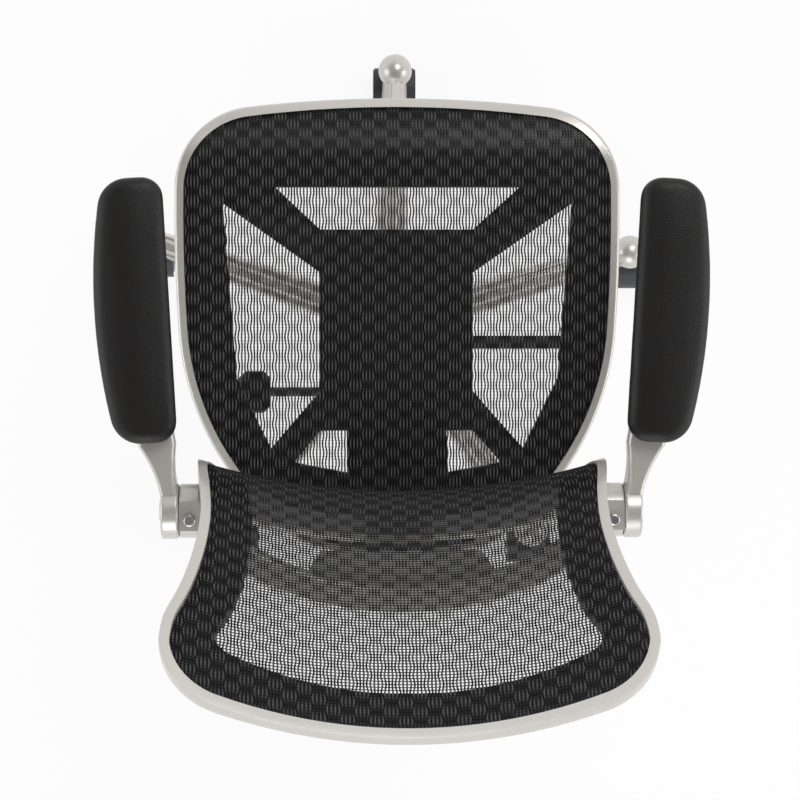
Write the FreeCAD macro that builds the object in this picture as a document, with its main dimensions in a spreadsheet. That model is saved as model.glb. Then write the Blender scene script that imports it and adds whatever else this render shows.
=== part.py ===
import FreeCAD, Part
import math
import os
from types import SimpleNamespace

import Sketcher
from FreeCAD import Placement, Rotation, Vector

# Mesh office chair with flip-up arms, on a five-star base with twin-wheel casters.
# Millimetres. Origin on the swivel axis at floor level, +Z up, the sitter faces -Y.

# Driving sizes, kept in the sheet of the document. Lengths in mm, turns in degrees.
DRIVING_SIZES = {
    # Fits used all over the chair
    "running_play": 0.05,
    "rest_gap": 0.3,
    # Five-star base
    "base_turn": -1.4,
    "base_reach": 318,
    "ball_diameter": 42,
    "ball_height": 80,
    "ball_flat_height": 61,
    "leg_tip_width": 30,
    "leg_tip_bottom": 67,
    "leg_tip_shoulder": 89,
    "leg_root_width": 46,
    "leg_root_bottom": 68,
    "leg_root_shoulder": 116,
    "leg_draft": 3,
    "leg_wall": 4,
    "ridge_width": 16,
    "ridge_height": 4,
    "hub_diameter": 92,
    "hub_bottom": 62,
    "hub_top": 134,
    "hub_slope": 12,
    # Twin-wheel casters
    "caster_wheel_diameter": 50,
    "caster_wheel_width": 19,
    "caster_web": 14,
    "caster_side_play": 0.5,
    "caster_trail": 18,
    "caster_hood_top": 58.8,
    "hood_neck_length": 20,
    "hood_web_diameter": 34,
    "cowl_gap": 1.2,
    "cowl_wall": 2.5,
    "cowl_sweep": 140,
    "axle_diameter": 6,
    "wheel_hub_diameter": 16,
    "wheel_tread": 4.5,
    "wheel_disc": 6,
    "wheel_round": 2.5,
    "stem_diameter": 11,
    "stem_bottom": 37,
    "stem_top": 93,
    "collar_diameter": 17,
    # Gas column. The tops of tube and cylinder and the start of the taper are measured down from the seat
    "column_diameter": 50,
    "column_wall": 2,
    "column_floor": 4,
    "column_top": 160,
    "bush_length": 80,
    "bush_lip": 2.5,
    "bearing_height": 6,
    "bearing_diameter": 28,
    "rod_diameter": 10,
    "rod_end_diameter": 8,
    "rod_bottom": 58.5,
    "clip_diameter": 16,
    "clip_thickness": 2,
    "piston_bottom": 228,
    "piston_length": 15,
    "cylinder_diameter": 28,
    "cylinder_wall": 2,
    "cylinder_bottom": 92,
    "cylinder_top": 93,
    "guide_length": 20,
    "valve_seat_length": 12,
    "taper_start": 127,
    "taper_end_diameter": 26.4,
    "valve_diameter": 8,
    "valve_stand": 6,
    "valve_length": 26,
    # Tilt mechanism, its heights measured down from the seat
    "housing_width": 160,
    "housing_wall": 3.5,
    "housing_floor": 4,
    "housing_bottom": 130,
    "housing_front": 95,
    "housing_rear": 88,
    "housing_front_top": 60,
    "housing_rear_top": 107,
    "housing_chamfer": 14,
    "boss_diameter": 48,
    "boss_top": 98,
    "tilt_pin_forward": 80,
    "tilt_pin_height": 73,
    "tilt_pin_diameter": 12,
    "tilt_pin_end": 2,
    "plate_bottom": 53,
    "plate_thickness": 4,
    "plate_front": 118,
    "plate_rear": 60,
    "lug_gap": 1,
    "lug_thickness": 4,
    "lug_half_length": 16,
    "lug_drop": 12,
    "spring_forward": 48,
    "spring_mean_diameter": 27,
    "spring_wire": 5,
    "spring_turns": 5,
    "bolt_diameter": 10,
    "bolt_top": 73,
    "knob_diameter": 46,
    "knob_height": 22,
    "knob_grip_diameter": 10,
    "knob_grip_count": 10,
    # Levers, the lock lever's height measured down from the seat
    "height_lever_back": 12,
    "height_lever_width": 15,
    "height_lever_thickness": 8,
    "height_lever_reach": 220,
    "height_slot_play": 0.6,
    "height_pivot_diameter": 2.5,
    "tongue_length": 60,
    "tongue_width": 12,
    "lock_lever_back": 71,
    "lock_lever_height": 115,
    "lock_lever_diameter": 11,
    "lock_lever_inner": 62,
    "lock_lever_reach": 174,
    "lock_cam_length": 10,
    "lock_cam_height": 20,
    "paddle_length": 37,
    "paddle_width": 49,
    "paddle_thickness": 10,
    "paddle_round": 4,
    "paddle_cap": 8,
    # Seat
    "seat_width": 500,
    "seat_front": 265.5,
    "seat_rear": 254,
    "seat_height": 445,
    "seat_widest_forward": 130,
    "seat_side_radius": 2000,
    "seat_haunch_forward": 6,
    "seat_haunch_radius": 312,
    "seat_front_bow": 22,
    "seat_rear_bow": 18,
    "seat_front_corner": 93,
    "seat_rear_corner": 50,
    "waterfall_length": 70,
    "waterfall_radius": 110,
    "seat_flat_back": 120,
    "seat_rise_radius": 900,
    "seat_rim_width": 10,
    "seat_rim_depth": 27,
    "seat_rim_proud": 2,
    "seat_rim_round": 4,
    "mesh_thickness": 2,
    "slot_pitch": 40,
    "slot_bar": 17,
    "slot_rows": 5,
    "slot_row_bar": 12,
    "slot_margin": 12,
    "seat_ring_thickness": 11,
    # Seat pan: centre plate, sloping struts and the windows between them
    "pan_half_width": 87,
    "pan_front": 118,
    "pan_rear": 111,
    "pan_wall": 8,
    "pan_ring_half_width": 196,
    "pan_ring_front": 165,
    "pan_ring_rear": 156,
    "front_window_outer_half": 137,
    "side_window_front_outer": 147,
    "side_window_front_inner": 69,
    "side_window_rear_inner": 66,
    "side_window_rear_half": 143,
    "side_window_rear": 130,
    "side_window_bend_half": 181,
    "side_window_bend": 50,
    "rear_window_inner_half": 57,
    "rear_window_outer_half": 117,
    "rear_window_corner": 145,
    "seat_bolt_diameter": 8,
    "seat_bolt_head": 13,
    "seat_bolt_head_height": 5,
    "seat_bolt_half_spread": 60,
    "seat_bolt_front": 102,
    "seat_bolt_back": 40,
    # Back support: flat bar up from the seat and the yoke round to the arm hinges
    "spine_width": 80,
    "spine_thickness": 9,
    "spine_start": 62,
    "spine_bend_radius": 55,
    "spine_back": 278,
    "spine_lean": 6,
    "yoke_radius": 338,
    "yoke_back": 281,
    "yoke_depth": 30,
    "yoke_height": 34,
    "yoke_half_sweep": 36.5,
    "yoke_round": 5,
    "yoke_lug_inner": 168,
    "yoke_lug_outer": 196,
    "yoke_lug_height": 40,
    "yoke_end_width": 37,
    "yoke_end_back": 34,
    "yoke_web_thickness": 10,
    "yoke_web_front": 228,
    "yoke_web_front_half": 87,
    "yoke_web_rear_half": 112,
    "back_bolt_diameter": 8,
    "back_bolt_head": 13,
    "back_bolt_head_height": 4,
    "back_bolt_half_spread": 26,
    "back_bolt_front": 74,
    "back_bolt_back": 98,
    # Back rest, with heights above the flat of the seat
    "lumbar_back": 162,
    "lumbar_height": 155,
    "lumbar_radius": 140,
    "lumbar_lower_turn": 30,
    "lumbar_upper_turn": 28,
    "upper_back_radius": 890,
    "upper_back_turn": 24,
    "lower_back_length": 90,
    "back_curve_radius": 740,
    "back_bottom": 27,
    "back_top_turn": 48.1,
    "back_top_bow": 50,
    "back_bottom_half": 186,
    "back_lumbar_half": 217,
    "back_waist_half": 210,
    "back_waist_height": 260,
    "back_flare_half": 233,
    "back_flare_height": 373,
    "back_shoulder_half": 245,
    "back_shoulder_height": 423,
    "back_top_corner": 80,
    "back_bottom_corner": 50,
    "back_rim_width": 10,
    "back_rim_depth": 14,
    "back_rim_proud": 2,
    "back_flange": 42,
    "back_flange_thickness": 6,
    "back_window_corner": 30,
    # Flip-up arms, with heights above the flat of the seat
    "hinge_back": 184,
    "hinge_height": 140,
    "hinge_pin_diameter": 12,
    "hinge_pin_cap_diameter": 22,
    "hinge_pin_cap": 1.5,
    "bracket_inner": 215,
    "bracket_thickness": 23,
    "bracket_diameter": 58,
    "bracket_round": 3,
    "bracket_screw_head": 13,
    "bracket_screw_head_height": 4,
    "bracket_screw_diameter": 6,
    "bracket_screw_depth": 14,
    "bracket_screw_back": 8,
    "bracket_pad_length": 22,
    "knuckle_gap": 0.5,
    "knuckle_thickness": 19,
    "knuckle_diameter": 60,
    "knuckle_round": 3,
    "arm_neck_width": 22,
    "arm_neck_half": 253,
    "arm_neck_back": 144,
    "arm_beam_width": 40,
    "arm_beam_depth": 24,
    "arm_root_half": 261,
    "arm_root_back": 112,
    "arm_tip_width": 34,
    "arm_tip_depth": 15,
    "arm_round": 5,
    "pad_front_half": 293,
    "pad_rear_half": 277.5,
    "pad_front": 171,
    "pad_rear": 109,
    "pad_width": 79,
    "pad_side_bow": 16,
    "pad_bottom": 166,
    "pad_thickness": 29,
    "pad_corner": 32,
    "pad_inner_corner": 22,
    "pad_crown_radius": 200,
    "pad_top_round": 11,
    "pad_bottom_round": 4,
    "pad_screw_diameter": 6,
    "pad_screw_head": 11,
    "pad_screw_head_height": 4,
    "pad_screw_depth": 10,
    "pad_screw_front": 110,
    "pad_screw_back": 50,
}

doc = FreeCAD.newDocument("MeshOfficeChair")
sheet = doc.addObject("Spreadsheet::Sheet", "Sizes")
for row, (alias, value) in enumerate(DRIVING_SIZES.items(), start=1):
    sheet.set(f"A{row}", alias)
    sheet.set(f"B{row}", str(value))
    sheet.setAlias(f"B{row}", alias)
doc.recompute()


class Size:
    """A length with the sheet formula behind it, so that one sum places points and binds objects."""

    def __init__(self, value, formula):
        self.value = float(value)
        self.formula = formula

    def __float__(self):
        return self.value

    def __add__(self, other):
        other = as_size(other)
        return Size(self.value + other.value, f"({self.formula} + {other.formula})")

    def __radd__(self, other):
        return as_size(other) + self

    def __sub__(self, other):
        other = as_size(other)
        return Size(self.value - other.value, f"({self.formula} - {other.formula})")

    def __rsub__(self, other):
        return as_size(other) - self

    def __mul__(self, other):
        other = as_size(other)
        return Size(self.value * other.value, f"({self.formula} * {other.formula})")

    def __rmul__(self, other):
        return as_size(other) * self

    def __truediv__(self, other):
        other = as_size(other)
        return Size(self.value / other.value, f"({self.formula} / {other.formula})")

    def __neg__(self):
        return Size(-self.value, f"(-1 * {self.formula})")


def as_size(value):
    """A plain number as a Size, or the Size itself."""
    return value if isinstance(value, Size) else Size(value, str(value))


size = SimpleNamespace(**{alias: Size(sheet.get(alias), f"Sizes.{alias}") for alias in DRIVING_SIZES})
nodes = []


def point(x, y, z):
    """A vector from sizes or numbers."""
    return Vector(float(x), float(y), float(z))


def bind(thing, prop, value):
    """Drive one property of an object from the sheet."""
    thing.setExpression(prop, as_size(value).formula)


def new_body(label):
    """An empty body that becomes one node."""
    body = doc.addObject("PartDesign::Body", label)
    body.Label = label
    nodes.append(body)
    return body


def new_solid(label, shape):
    """A node whose shape is worked out from the sheet by Part's own functions."""
    node = doc.addObject("Part::Feature", label)
    node.Label = label
    node.Shape = shape
    node.Placement = Placement()
    nodes.append(node)
    return node


def new_sketch(body, role, lift=0):
    """A sketch on one of the body's origin planes, lifted along that plane's normal."""
    sketch = body.newObject("Sketcher::SketchObject", "Sketch")
    plane = next(feature for feature in body.Origin.OriginFeatures if feature.Role == role)
    sketch.AttachmentSupport = [(plane, "")]
    sketch.MapMode = "FlatFace"
    bind(sketch, "AttachmentOffset.Base.z", lift)
    return sketch


def hold(sketch, edge, spot, x, y):
    """Fix one point of an edge at sheet-driven coordinates."""
    for kind, axis, place in (("DistanceX", -2, as_size(x)), ("DistanceY", -1, as_size(y))):
        if place.formula == "0":
            sketch.addConstraint(Sketcher.Constraint("PointOnObject", edge, spot, axis))
        else:
            index = sketch.addConstraint(Sketcher.Constraint(kind, -1, 1, edge, spot, place.value))
            sketch.setExpression(f"Constraints[{index}]", place.formula)


def draw_outline(sketch, corners):
    """A closed outline of straight edges."""
    first = len(sketch.Geometry)
    places = [point(x, y, 0) for x, y in corners]
    for start, end in zip(places, places[1:] + places[:1]):
        sketch.addGeometry(Part.LineSegment(start, end), False)
    for step, (x, y) in enumerate(corners):
        after = first + (step + 1) % len(corners)
        sketch.addConstraint(Sketcher.Constraint("Coincident", first + step, 2, after, 1))
        hold(sketch, first + step, 1, x, y)


def draw_box(sketch, low_x, high_x, low_y, high_y):
    """A rectangle between two corners."""
    draw_outline(sketch, [(low_x, low_y), (high_x, low_y), (high_x, high_y), (low_x, high_y)])


def draw_circle(sketch, x, y, diameter):
    """A circle given by centre and diameter."""
    circle = Part.Circle(point(x, y, 0), Vector(0, 0, 1), float(diameter) / 2)
    edge = sketch.addGeometry(circle, False)
    hold(sketch, edge, 3, x, y)
    index = sketch.addConstraint(Sketcher.Constraint("Diameter", edge, float(diameter)))
    sketch.setExpression(f"Constraints[{index}]", as_size(diameter).formula)


def pad(body, sketch, length):
    """Add the sketch's area, grown along its normal."""
    feature = body.newObject("PartDesign::Pad", "Pad")
    feature.Profile = sketch
    bind(feature, "Length", length)
    return feature


def pocket(body, sketch, length):
    """Remove the sketch's area along its normal, and make sure that it met the solid."""
    doc.recompute()
    before = body.Shape.Volume
    feature = body.newObject("PartDesign::Pocket", "Pocket")
    feature.Profile = sketch
    feature.Reversed = True
    bind(feature, "Length", length)
    doc.recompute()
    if not body.Shape.Volume < before:
        raise RuntimeError(f"a pocket of {body.Label} cuts nothing")
    return feature


def revolve(body, sketch, turn=360):
    """Add the sketch's area, turned about its upright axis."""
    feature = body.newObject("PartDesign::Revolution", "Revolution")
    feature.Profile = sketch
    feature.ReferenceAxis = (sketch, ["V_Axis"])
    bind(feature, "Angle", turn)
    return feature


def groove(body, sketch):
    """Remove the sketch's area turned about its upright axis."""
    doc.recompute()
    before = body.Shape.Volume
    feature = body.newObject("PartDesign::Groove", "Groove")
    feature.Profile = sketch
    feature.ReferenceAxis = (sketch, ["V_Axis"])
    feature.Angle = 360
    doc.recompute()
    if not body.Shape.Volume < before:
        raise RuntimeError(f"a groove of {body.Label} cuts nothing")
    return feature


def pattern_round(body, features, count):
    """Repeat features evenly round the body's Z axis."""
    feature = body.newObject("PartDesign::PolarPattern", "Pattern")
    feature.Originals = features
    axis = next(item for item in body.Origin.OriginFeatures if item.Role == "Z_Axis")
    feature.Axis = (axis, [""])
    feature.Angle = 360
    bind(feature, "Occurrences", count)
    body.Tip = feature
    return feature


def round_edges(body, feature, radius, wanted):
    """Round the edges of a feature that the test function picks."""
    doc.recompute()
    names = [f"Edge{number}" for number, edge in enumerate(feature.Shape.Edges, start=1) if wanted(edge)]
    fillet = body.newObject("PartDesign::Fillet", "Fillet")
    fillet.Base = (feature, names)
    bind(fillet, "Radius", radius)
    return fillet


def turned_solid(label, profile):
    """A body turned from a profile of radius and height pairs about the swivel axis."""
    body = new_body(label)
    sketch = new_sketch(body, "XZ_Plane")
    draw_outline(sketch, profile)
    revolve(body, sketch)
    return body


def wire(*edges):
    """A closed wire from edges laid end to end."""
    return Part.Wire([edge.toShape() for edge in edges])


def polygon_wire(corners):
    """A closed wire of straight edges."""
    return Part.makePolygon(corners + corners[:1])


def rounded_wire(corners):
    """A closed wire through corners given with a radius each, every corner rounded by an arc."""
    places = [corner for corner, radius in corners]
    arcs = []
    for step, (corner, radius) in enumerate(corners):
        back = (places[step - 1] - corner).normalize()
        ahead = (places[(step + 1) % len(places)] - corner).normalize()
        half = back.getAngle(ahead) / 2
        inward = (back + ahead).normalize()
        run = radius / math.tan(half)
        crest = corner + inward * (radius / math.sin(half) - radius)
        arcs.append(Part.Arc(corner + back * run, crest, corner + ahead * run))
    edges = []
    for arc, following in zip(arcs, arcs[1:] + arcs[:1]):
        edges.append(arc)
        edges.append(Part.LineSegment(arc.EndPoint, following.StartPoint))
    return wire(*edges)


def prism(corners, rise):
    """A straight-edged face grown along a vector."""
    return Part.Face(polygon_wire(corners)).extrude(rise)


def block(low, high):
    """A box between two corners."""
    span = high - low
    return Part.makeBox(span.x, span.y, span.z, low)


def drum(centre, along, diameter):
    """A solid cylinder from a point along a vector."""
    return Part.makeCylinder(float(diameter) / 2, along.Length, centre, along)


def mirror_left_right(shape):
    """The same shape on the other side of the chair's mid-plane."""
    return shape.mirror(Vector(0, 0, 0), Vector(1, 0, 0))


def soften(solid, radius, wanted):
    """Round the edges that the test function picks."""
    return solid.makeFillet(float(radius), [edge for edge in solid.Edges if wanted(edge)])


def middle(edge):
    """The point half way along an edge."""
    return edge.valueAt((edge.FirstParameter + edge.LastParameter) / 2)


def lies_on(edge, shell):
    """Whether both ends and the middle of an edge lie on a shell."""
    spots = [middle(edge)] + [vertex.Point for vertex in edge.Vertexes]
    return all(shell.distToShape(Part.Vertex(spot))[0] < 0.01 for spot in spots)


# Five-star base: cast hub, five tapered legs with a ridge on top, and a ball socket at each tip
column_radius = size.column_diameter / 2
hub_radius = size.hub_diameter / 2
hub_profile = polygon_wire([
    point(column_radius, 0, size.hub_bottom),
    point(hub_radius - size.leg_draft, 0, size.hub_bottom),
    point(hub_radius, 0, size.hub_bottom + size.leg_draft),
    point(hub_radius, 0, size.hub_top - size.hub_slope),
    point(hub_radius - size.hub_slope, 0, size.hub_top),
    point(column_radius, 0, size.hub_top),
])
hub = Part.Face(hub_profile).revolve(Vector(0, 0, 0), Vector(0, 0, 1), 360)


def leg_section(along, width, bottom, shoulder):
    """Cross-section of a leg: drafted sides, rounded shoulders and a raised ridge along the top."""
    side = float(width) / 2
    draft = float(size.leg_draft)
    ridge = float(size.ridge_width) / 2
    crest = float(shoulder) + float(size.ridge_height)
    soft = (side - draft - ridge) * 0.4
    ridge_soft = float(size.ridge_height) / 2
    right_side = [
        (side, bottom, draft / 2),
        (side - draft, shoulder, soft),
        (ridge, shoulder, ridge_soft),
        (ridge - draft, crest, ridge_soft),
    ]
    left_side = [(-across, height, radius) for across, height, radius in reversed(right_side)]
    corners = [(point(along, across, height), radius) for across, height, radius in right_side + left_side]
    return rounded_wire(corners)


def hollow_section(along, width, bottom, shoulder):
    """Cross-section of the hollow under a leg, open at the bottom."""
    side = width / 2 - size.leg_wall
    top = shoulder - size.leg_wall
    return polygon_wire([
        point(along, -side, bottom - size.leg_wall),
        point(along, side, bottom - size.leg_wall),
        point(along, side - size.leg_draft, top),
        point(along, size.leg_draft - side, top),
    ])


root_sizes = (size.leg_root_width, size.leg_root_bottom, size.leg_root_shoulder)
tip_sizes = (size.leg_tip_width, size.leg_tip_bottom, size.leg_tip_shoulder)
leg = Part.makeLoft([
    leg_section(hub_radius - size.hub_slope, *root_sizes),
    leg_section(size.base_reach, *tip_sizes),
], True, True)
leg_hollow = Part.makeLoft([
    hollow_section(hub_radius + size.leg_wall, *root_sizes),
    hollow_section(size.base_reach - size.ball_diameter / 2, *tip_sizes),
], True, True)
ball_radius = size.ball_diameter / 2
ball = Part.makeSphere(float(ball_radius), point(size.base_reach, 0, size.ball_height))
under_ball = point(size.base_reach, 0, size.ball_flat_height)
ball_flat = drum(under_ball, point(0, 0, -size.ball_diameter), 2 * size.ball_diameter)
stem_depth = size.stem_top + size.rest_gap - size.ball_flat_height
stem_socket = drum(under_ball, point(0, 0, stem_depth), size.stem_diameter)


def turned_about_column(shape, turn):
    """A copy of a shape turned about the swivel axis."""
    copy = shape.copy()
    copy.rotate(Vector(0, 0, 0), Vector(0, 0, 1), turn)
    return copy


leg_turns = [-90 + float(size.base_turn) - 72 * step for step in range(5)]
star = hub.fuse([turned_about_column(shape, turn) for turn in leg_turns for shape in (leg, ball)])
star = star.cut(
    [turned_about_column(shape, turn) for turn in leg_turns for shape in (leg_hollow, ball_flat, stem_socket)]
)
new_solid("base_star", star.removeSplitter())

# Casters: five stems pressed into the leg sockets, each with a hood, an axle and two wheels
caster_names = ["front", "right", "rear_right", "rear_left", "left"]
axle_height = size.caster_wheel_diameter / 2


def stem_place(turn):
    """Point on the floor under a caster stem."""
    reach = float(size.base_reach)
    return Vector(reach * math.cos(math.radians(turn)), reach * math.sin(math.radians(turn)), 0)


def make_stem(place):
    """A plain steel stem with a collar under the ball of the leg."""
    foot = place + point(0, 0, size.stem_bottom)
    stem = drum(foot, point(0, 0, size.stem_top - size.stem_bottom), size.stem_diameter)
    collar_bottom = size.caster_hood_top + size.rest_gap
    collar_rise = point(0, 0, size.ball_flat_height - collar_bottom)
    return stem.fuse(drum(place + point(0, 0, collar_bottom), collar_rise, size.collar_diameter))


new_solid("caster_stems", Part.makeCompound([make_stem(stem_place(turn)) for turn in leg_turns]))


def make_hood(label):
    """Caster hood about its axle: local X to the rear, local Y up, local Z along the axle."""
    body = new_body(label)
    wheel_radius = size.caster_wheel_diameter / 2
    half_width = size.caster_web / 2 + size.caster_side_play + size.caster_wheel_width
    neck = size.hood_neck_length / 2
    cowl = new_sketch(body, "XZ_Plane")
    inner = wheel_radius + size.cowl_gap
    draw_box(cowl, inner, inner + size.cowl_wall, -half_width, half_width)
    revolve(body, cowl, size.cowl_sweep)
    web = new_sketch(body, "XY_Plane", -size.caster_web / 2)
    draw_circle(web, 0, 0, size.hood_web_diameter)
    pad(body, web, size.caster_web)
    shank = new_sketch(body, "XY_Plane", -size.caster_web / 2)
    draw_outline(shank, [
        (-size.caster_trail - neck, size.stem_bottom - axle_height - size.cowl_gap),
        (0, -neck),
        (neck, 0),
        (0, inner + size.cowl_wall / 2),
        (neck - size.caster_trail, size.caster_hood_top - axle_height),
        (-size.caster_trail - neck, size.caster_hood_top - axle_height),
    ])
    pad(body, shank, size.caster_web)
    socket = new_sketch(body, "XZ_Plane", axle_height - size.caster_hood_top)
    draw_circle(socket, -size.caster_trail, 0, size.stem_diameter + 2 * size.running_play)
    pocket(body, socket, size.caster_hood_top - size.stem_bottom + size.rest_gap)
    bore = new_sketch(body, "XY_Plane", -size.caster_web / 2)
    draw_circle(bore, 0, 0, size.axle_diameter)
    pocket(body, bore, size.caster_web)
    return body


def make_wheel(label):
    """One wheel about local Z: tread, side disc and hub, open towards the hood."""
    inner_face = size.caster_web / 2 + size.caster_side_play
    outer_face = inner_face + size.caster_wheel_width
    radius = size.caster_wheel_diameter / 2
    tread = radius - size.wheel_tread
    bore = size.axle_diameter / 2 + size.running_play
    hub = size.wheel_hub_diameter / 2
    disc_inner = outer_face - size.wheel_disc
    return turned_solid(label, [
        (bore, inner_face),
        (hub, inner_face),
        (hub, disc_inner),
        (tread, disc_inner),
        (tread, inner_face),
        (radius - size.wheel_round, inner_face),
        (radius, inner_face + size.wheel_round),
        (radius, outer_face - size.wheel_round),
        (radius - size.wheel_round, outer_face),
        (hub, outer_face),
        (bore, outer_face - size.wheel_round / 2),
    ])


axle_turn = Rotation(Vector(0, 1, 0), Vector(0, 0, 1), Vector(1, 0, 0), "ZXY")
for name, turn in zip(caster_names, leg_turns):
    axle_place = stem_place(turn) + point(0, size.caster_trail, axle_height)
    make_hood(f"caster_{name}_hood").Placement = Placement(axle_place, axle_turn)
    axle = doc.addObject("Part::Cylinder", f"caster_{name}_axle")
    bind(axle, "Radius", size.axle_diameter / 2)
    axle_length = size.caster_web + 2 * (size.caster_side_play + size.caster_wheel_width - size.wheel_round)
    bind(axle, "Height", axle_length)
    axle.Placement = Placement(axle_place - point(axle_length / 2, 0, 0), axle_turn)
    nodes.append(axle)
    make_wheel(f"caster_{name}_wheel_left").Placement = Placement(axle_place, axle_turn)
    flip = Rotation(Vector(0, 0, 1), 180)
    make_wheel(f"caster_{name}_wheel_right").Placement = Placement(axle_place, flip * axle_turn)

# Gas column: outer tube in the hub, guide bush, thrust bearing, piston rod and its clip
column_bottom = size.hub_bottom
column_head = size.seat_height - size.column_top
cylinder_head = size.seat_height - size.cylinder_top
taper_level = size.seat_height - size.taper_start
tube_inner = column_radius - size.column_wall
rod_end = size.rod_end_diameter / 2
rod_shoulder = column_bottom + size.column_floor + size.bearing_height + size.rest_gap
cylinder_radius = size.cylinder_diameter / 2
cylinder_bore = cylinder_radius - size.cylinder_wall

turned_solid("column_tube", [
    (rod_end + 2 * size.running_play, column_bottom),
    (column_radius, column_bottom),
    (column_radius, column_head),
    (tube_inner, column_head),
    (tube_inner, column_bottom + size.column_floor),
    (rod_end + 2 * size.running_play, column_bottom + size.column_floor),
])
turned_solid("column_bush", [
    (cylinder_radius + size.running_play, column_head - size.bush_length),
    (tube_inner, column_head - size.bush_length),
    (tube_inner, column_head),
    (column_radius, column_head),
    (column_radius - size.bush_lip / 2, column_head + size.bush_lip),
    (cylinder_radius + size.running_play, column_head + size.bush_lip),
])
turned_solid("thrust_bearing", [
    (rod_end + size.running_play, column_bottom + size.column_floor),
    (size.bearing_diameter / 2, column_bottom + size.column_floor),
    (size.bearing_diameter / 2, column_bottom + size.column_floor + size.bearing_height),
    (rod_end + size.running_play, column_bottom + size.column_floor + size.bearing_height),
])
turned_solid("piston_rod", [
    (0, size.rod_bottom),
    (rod_end, size.rod_bottom),
    (rod_end, rod_shoulder),
    (size.rod_diameter / 2, rod_shoulder),
    (size.rod_diameter / 2, size.piston_bottom),
    (cylinder_bore - size.running_play, size.piston_bottom),
    (cylinder_bore - size.running_play, size.piston_bottom + size.piston_length),
    (0, size.piston_bottom + size.piston_length),
])
clip_top = column_bottom - size.rest_gap
turned_solid("retaining_clip", [
    (rod_end, clip_top - size.clip_thickness),
    (size.clip_diameter / 2, clip_top - size.clip_thickness),
    (size.clip_diameter / 2, clip_top),
    (rod_end, clip_top),
])
valve_radius = size.valve_diameter / 2
guide_top = size.cylinder_bottom + size.guide_length
valve_seat = cylinder_head - size.valve_seat_length
turned_solid("pressure_cylinder", [
    (size.rod_diameter / 2 + size.running_play, size.cylinder_bottom),
    (cylinder_radius, size.cylinder_bottom),
    (cylinder_radius, taper_level),
    (size.taper_end_diameter / 2, cylinder_head),
    (valve_radius + size.running_play, cylinder_head),
    (valve_radius + size.running_play, valve_seat),
    (cylinder_bore, valve_seat),
    (cylinder_bore, guide_top),
    (size.rod_diameter / 2 + size.running_play, guide_top),
])
valve_top = cylinder_head + size.valve_stand
turned_solid("valve_pin", [
    (0, valve_top - size.valve_length),
    (valve_radius, valve_top - size.valve_length),
    (valve_radius, valve_top),
    (0, valve_top),
])

# Tilt mechanism: pressed tub on the cylinder's taper, open on top, sloping down to the rear
housing_half = size.housing_width / 2
housing_top_front = -size.tilt_pin_forward + size.housing_chamfer
housing_inner = housing_half - size.housing_wall
housing_base = size.seat_height - size.housing_bottom
housing_front_level = size.seat_height - size.housing_front_top
housing_rear_level = size.seat_height - size.housing_rear_top
boss_level = size.seat_height - size.boss_top
pin_level = size.seat_height - size.tilt_pin_height
plate_level = size.seat_height - size.plate_bottom
bolt_level = size.seat_height - size.bolt_top
lock_level = size.seat_height - size.lock_lever_height
housing_floor_top = housing_base + size.housing_floor

mechanism_housing = new_body("mechanism_housing")
side_view = new_sketch(mechanism_housing, "YZ_Plane", -housing_half)
draw_outline(side_view, [
    (-size.housing_front, housing_base + size.housing_chamfer),
    (size.housing_chamfer - size.housing_front, housing_base),
    (size.housing_rear - size.housing_chamfer / 2, housing_base),
    (size.housing_rear, housing_base + size.housing_chamfer / 2),
    (size.housing_rear, housing_rear_level),
    (housing_top_front, housing_front_level),
    (-size.housing_front, housing_front_level),
])
pad(mechanism_housing, side_view, size.housing_width)
cavity = new_sketch(mechanism_housing, "YZ_Plane", -housing_inner)
draw_outline(cavity, [
    (size.housing_wall - size.housing_front, housing_floor_top + size.housing_chamfer),
    (size.housing_wall + size.housing_chamfer - size.housing_front, housing_floor_top),
    (size.housing_rear - size.housing_wall, housing_floor_top),
    (size.housing_rear - size.housing_wall, plate_level),
    (size.housing_wall - size.housing_front, plate_level),
])
pocket(mechanism_housing, cavity, 2 * housing_inner)
boss = new_sketch(mechanism_housing, "XY_Plane", housing_base)
draw_circle(boss, 0, 0, size.boss_diameter)
pad(mechanism_housing, boss, boss_level - housing_base)
taper = (cylinder_radius - size.taper_end_diameter / 2) / (cylinder_head - taper_level)
socket = new_sketch(mechanism_housing, "XZ_Plane")
draw_outline(socket, [
    (0, housing_base),
    (cylinder_radius, housing_base),
    (cylinder_radius, taper_level),
    (cylinder_radius - taper * (boss_level - taper_level), boss_level),
    (0, boss_level),
])
groove(mechanism_housing, socket)
pin_holes = new_sketch(mechanism_housing, "YZ_Plane", -housing_half)
draw_circle(pin_holes, -size.tilt_pin_forward, pin_level, size.tilt_pin_diameter)
pocket(mechanism_housing, pin_holes, size.housing_width)
lever_bottom = valve_top + size.rest_gap
lever_play = size.height_slot_play
lever_side = size.height_lever_width / 2
lever_slot = new_sketch(mechanism_housing, "YZ_Plane", -housing_half)
draw_box(
    lever_slot,
    size.height_lever_back - lever_side - lever_play,
    size.height_lever_back + lever_side + lever_play,
    lever_bottom - lever_play,
    plate_level,
)
pocket(mechanism_housing, lever_slot, size.housing_wall)
pivot_across = size.housing_wall / 2 - housing_half
pivot_height = lever_bottom + size.height_lever_thickness / 2
pivot_length = size.height_lever_width + 2 * lever_play
pivot_pin = new_sketch(mechanism_housing, "XZ_Plane", -size.height_lever_back - pivot_length / 2)
draw_circle(pivot_pin, pivot_across, pivot_height, size.height_pivot_diameter)
pad(mechanism_housing, pivot_pin, pivot_length)
lock_hole = new_sketch(mechanism_housing, "YZ_Plane", housing_inner)
lock_bore = size.lock_lever_diameter + 2 * size.running_play
draw_circle(lock_hole, size.lock_lever_back, lock_level, lock_bore)
pocket(mechanism_housing, lock_hole, size.housing_wall)
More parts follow.
